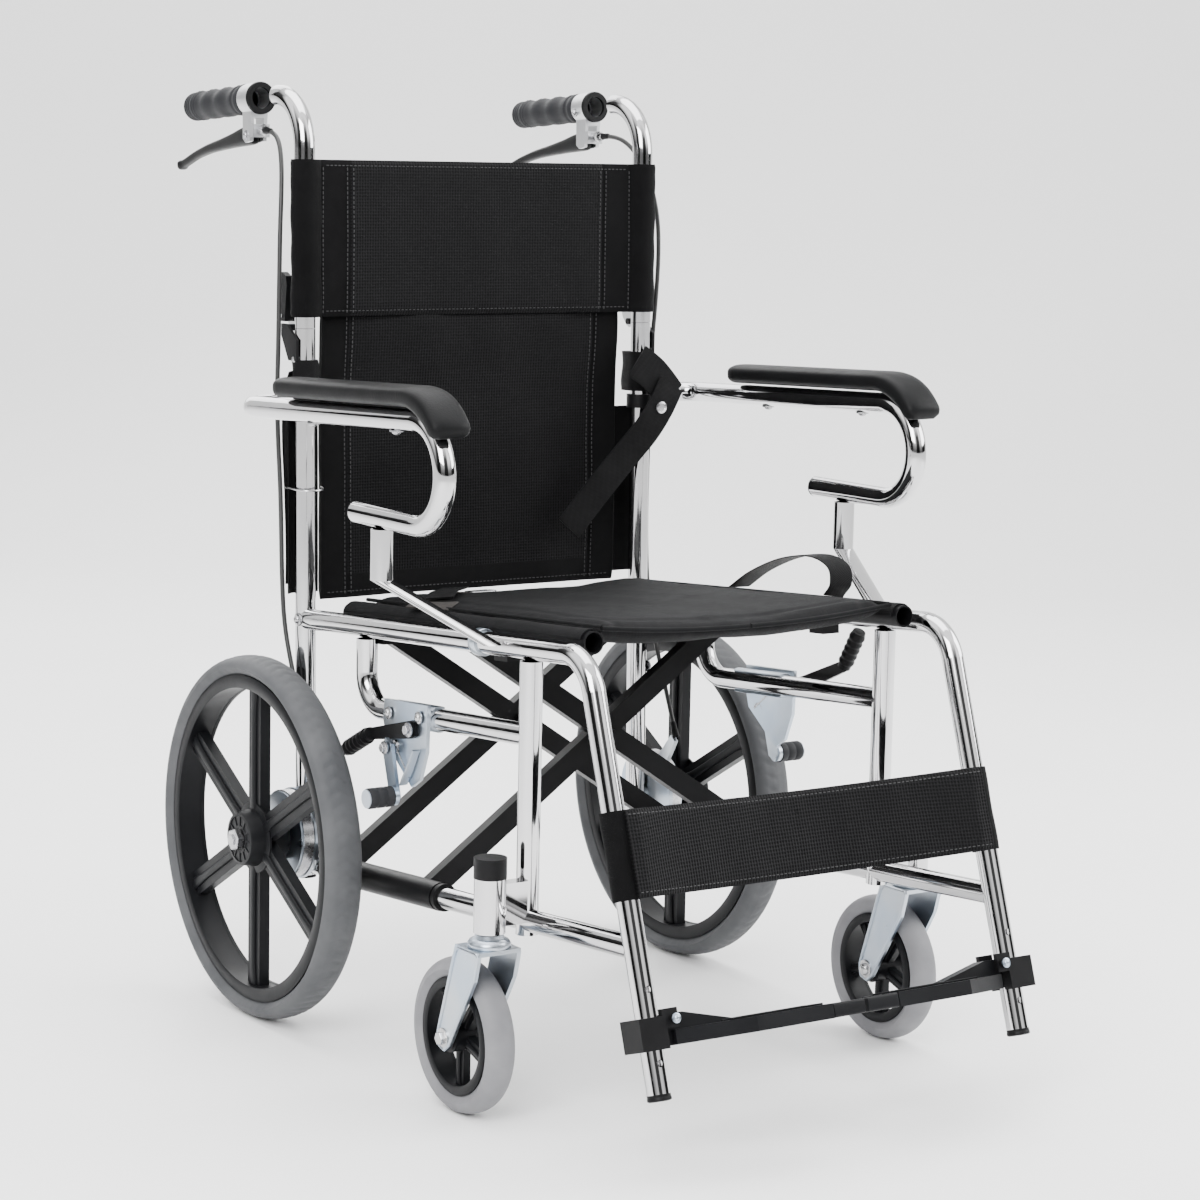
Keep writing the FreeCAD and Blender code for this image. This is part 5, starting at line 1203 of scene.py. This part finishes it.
def makeBrakes():
    for side, sign in sides.items():
        plane = post + 24.1
        railZ = 342.0 - slopeRise * -233
        saddle = turnedFrame(sign * post, -233, railZ, -90 - chair["slope"])
        turn = np.radians(np.linspace(-118, 118, 30))
        if sign < 0:
            turn = np.pi - turn
        ring = np.stack([np.cos(turn), np.sin(turn)], 1)
        section = np.concatenate([ring * 13.4, ring[::-1] * 11.4])
        rows = np.array([-42.0, -41.2, 41.2, 42.0])
        size = np.array([0.96, 1.0, 1.0, 0.96])
        grid = np.stack([np.column_stack([section * s, np.full(60, r)]) for r, s in zip(rows, size)])
        surface(f"brakeSaddle_{side}", apply(saddle, grid), look["zinc"], f"frame_{side}", slot="zinc_steel", strip=True)
        for number, (y, z) in enumerate(((-202, 359), (-262, 364))):
            bolt(f"saddleBolt_{number}_{side}", axisFrame(sign * (post + 17.6), y, z, (sign, 0, 0)), f"frame_{side}",
                 4.2, 3.0, "dome")
        bolt(f"leverBolt_{side}", axisFrame(sign * (post + 22.5), -250, 350, (sign, 0, 0)), f"frame_{side}", 5.0, 3.4)
        bolt(f"shoeBolt_{side}", axisFrame(sign * (plane + 4.3), -213, 326, (sign, 0, 0)), f"brake_shoe_{side}", 4.6, 3.2)
        coil(f"returnSpring_{side}", (sign * (post + 11.5), -213, 326), (sign, 0, 0), 6.6, 0.9, 4.2, 7.5,
             f"frame_{side}", ((sign * (post + 11.5), -236, 350), (sign * (post + 18.0), -246, 300)))
        rod = smoothPath([(sign * (post + 20), -262, 331), (sign * (post + 21), -252, 312), (sign * (post + 21), -244, 300),
                          (sign * (post + 20), -238, 292)], 24)
        surface(f"brakeLink_{side}", sweep(rod, roundedSection(9, 2.4, 5, 16)), look["zinc"], f"frame_{side}",
                slot="zinc_steel")
        roller = axisFrame(sign * (post + 28.5), -229, 279, (sign, 0, 0))
        grid = lathe([(9.2, 0), (10.6, 0.6), (10.6, 7), (9.9, 8), (9.9, 9), (10.6, 10), (10.6, 17), (9.9, 18), (9.9, 19),
                      (10.6, 20), (10.6, 27), (9.6, 28.6), (0.01, 28.8)], 32, roller)
        surface(f"shoeRubber_{side}", grid, look["grip"], f"brake_shoe_{side}", slot="zinc_steel")
        (y0, z0), (y1, z1) = {"right": [(-172.0, 333.0), (-122.0, 308.0)], "left": [(-350.0, 393.0), (-374.0, 434.0)]}[side]
        along = np.array([0, y1 - y0, z1 - z0])
        length = np.linalg.norm(along)
        handle = axisFrame(sign * (post + 20.7), y0, z0, along)
        run = np.linspace(0.12, 1.0, 40) * length
        radius = 8.2 + 0.5 * np.cos(run * 2 * np.pi / 8.0)
        radius[-4:] *= np.array([0.97, 0.9, 0.72, 0.4])
        profile = np.column_stack([np.concatenate([[7.1], radius]), np.concatenate([[run[0]], run + 0.4])])
        surface(f"brakeKnob_{side}", lathe(profile, 28, handle), look["blackPlastic"], f"brake_lever_{side}",
                slot="black_plastic")


makeBrakes()
print("parking brakes made")


def makeTrim():
    for side, sign in sides.items():
        out = sign * (post + 11.1)
        spots = [("rail", 4, 426.0 - slopeRise * 4), ("lower", 2, 161.5), ("brakeRail", 1, 342.0)]
        for label, y, z in spots:
            bolt(f"frameBolt_{label}_{side}", axisFrame(out, y, z, (sign, 0, 0)), f"frame_{side}", 4.6, 3.2, "dome")
        clamp = turnedFrame(sign * post, -352, seatRailZ(-352), -90 - chair["slope"])
        ring = lathe([(11.2, -6), (13.0, -6), (13.6, -5), (13.6, 5), (13.0, 6), (11.2, 6)], 40, clamp)
        surface(f"railClamp_{side}", ring, look["zinc"], f"frame_{side}", wrapRows=True, slot="zinc_steel")
        for level in (703, 742):
            place = axisFrame(sign * (post + 11.3), postY(level), level, (sign, 0, 0))
            if level < 735:
                bolt(f"hingeBolt_{side}", place, f"frame_{side}", 4.0, 2.6, "dome")
        leg = legFrame(sign * post, 84)
        foot = lathe([(0.01, -8.6), (9.8, -8.6), (11.5, -7.6), (11.5, -5.2), (11.0, -4.4)], 32, leg)
        surface(f"legTip_{side}", foot, look["blackPlastic"], f"frame_{side}", caps=(False, False), slot="black_plastic")
    wire = smoothPath([(-232, 22, 566), (-228, -4, 565), (-216, -12, 565), (-203, -6, 565.5), (-196, 10, 566)], 40)
    surface("clipWire_right", sweep(wire, circle(8) * 1.1, reference=(0, 0, 1)), look["steel"], "frame_right",
            slot="zinc_steel")


def makeFootplates():
    # Inner end of each footplate's front bar, and the bolt it flips on.
    for side, sign in sides.items():
        place = legFrame(0, 128)
        x = sign * np.array([38.0, 38.2, 30, 20, 10, 3.0, 2.0])
        thin = np.array([0.98, 1.0, 1.0, 1.0, 0.99, 0.97, 0.90])
        section = roundedSection(9.5, 13.8, 6.0, 24) - (42.9, 0)
        section = section[None] * np.stack([np.ones(7), thin], 1)[:, None]
        grid = np.stack([np.broadcast_to(x[:, None], (7, 24)), section[..., 0] - 0.2, section[..., 1]], -1)
        surface(f"footTip_{side}", apply(place, grid), look["hubNylon"], f"foot_{side}", slot="hub_plastic")
        hinge = apply(place, np.array([[sign * 197.0, -21.5, 17.0]]))[0]
        bolt(f"footBolt_{side}", axisFrame(*hinge, place[:3, 1] * -1), f"frame_{side}", 3.2, 2.2, "dome", "zinc")
        edge = np.stack([sign * np.linspace(41, 147, 40), np.full(40, 5.0), np.full(40, 7.0)], -1)
        for number in range(3):
            line = edge - (0, 11.0 + number * 14, 0)
            strip = sweep(apply(place, line), roundedSection(4.0, 1.6, 3.0, 10), reference=(0, 0, 1))
            surface(f"footRib_{number}_{side}", strip, look["hubNylon"], f"foot_{side}", slot="hub_plastic")


makeFootplates()
makeTrim()
print("trim made")
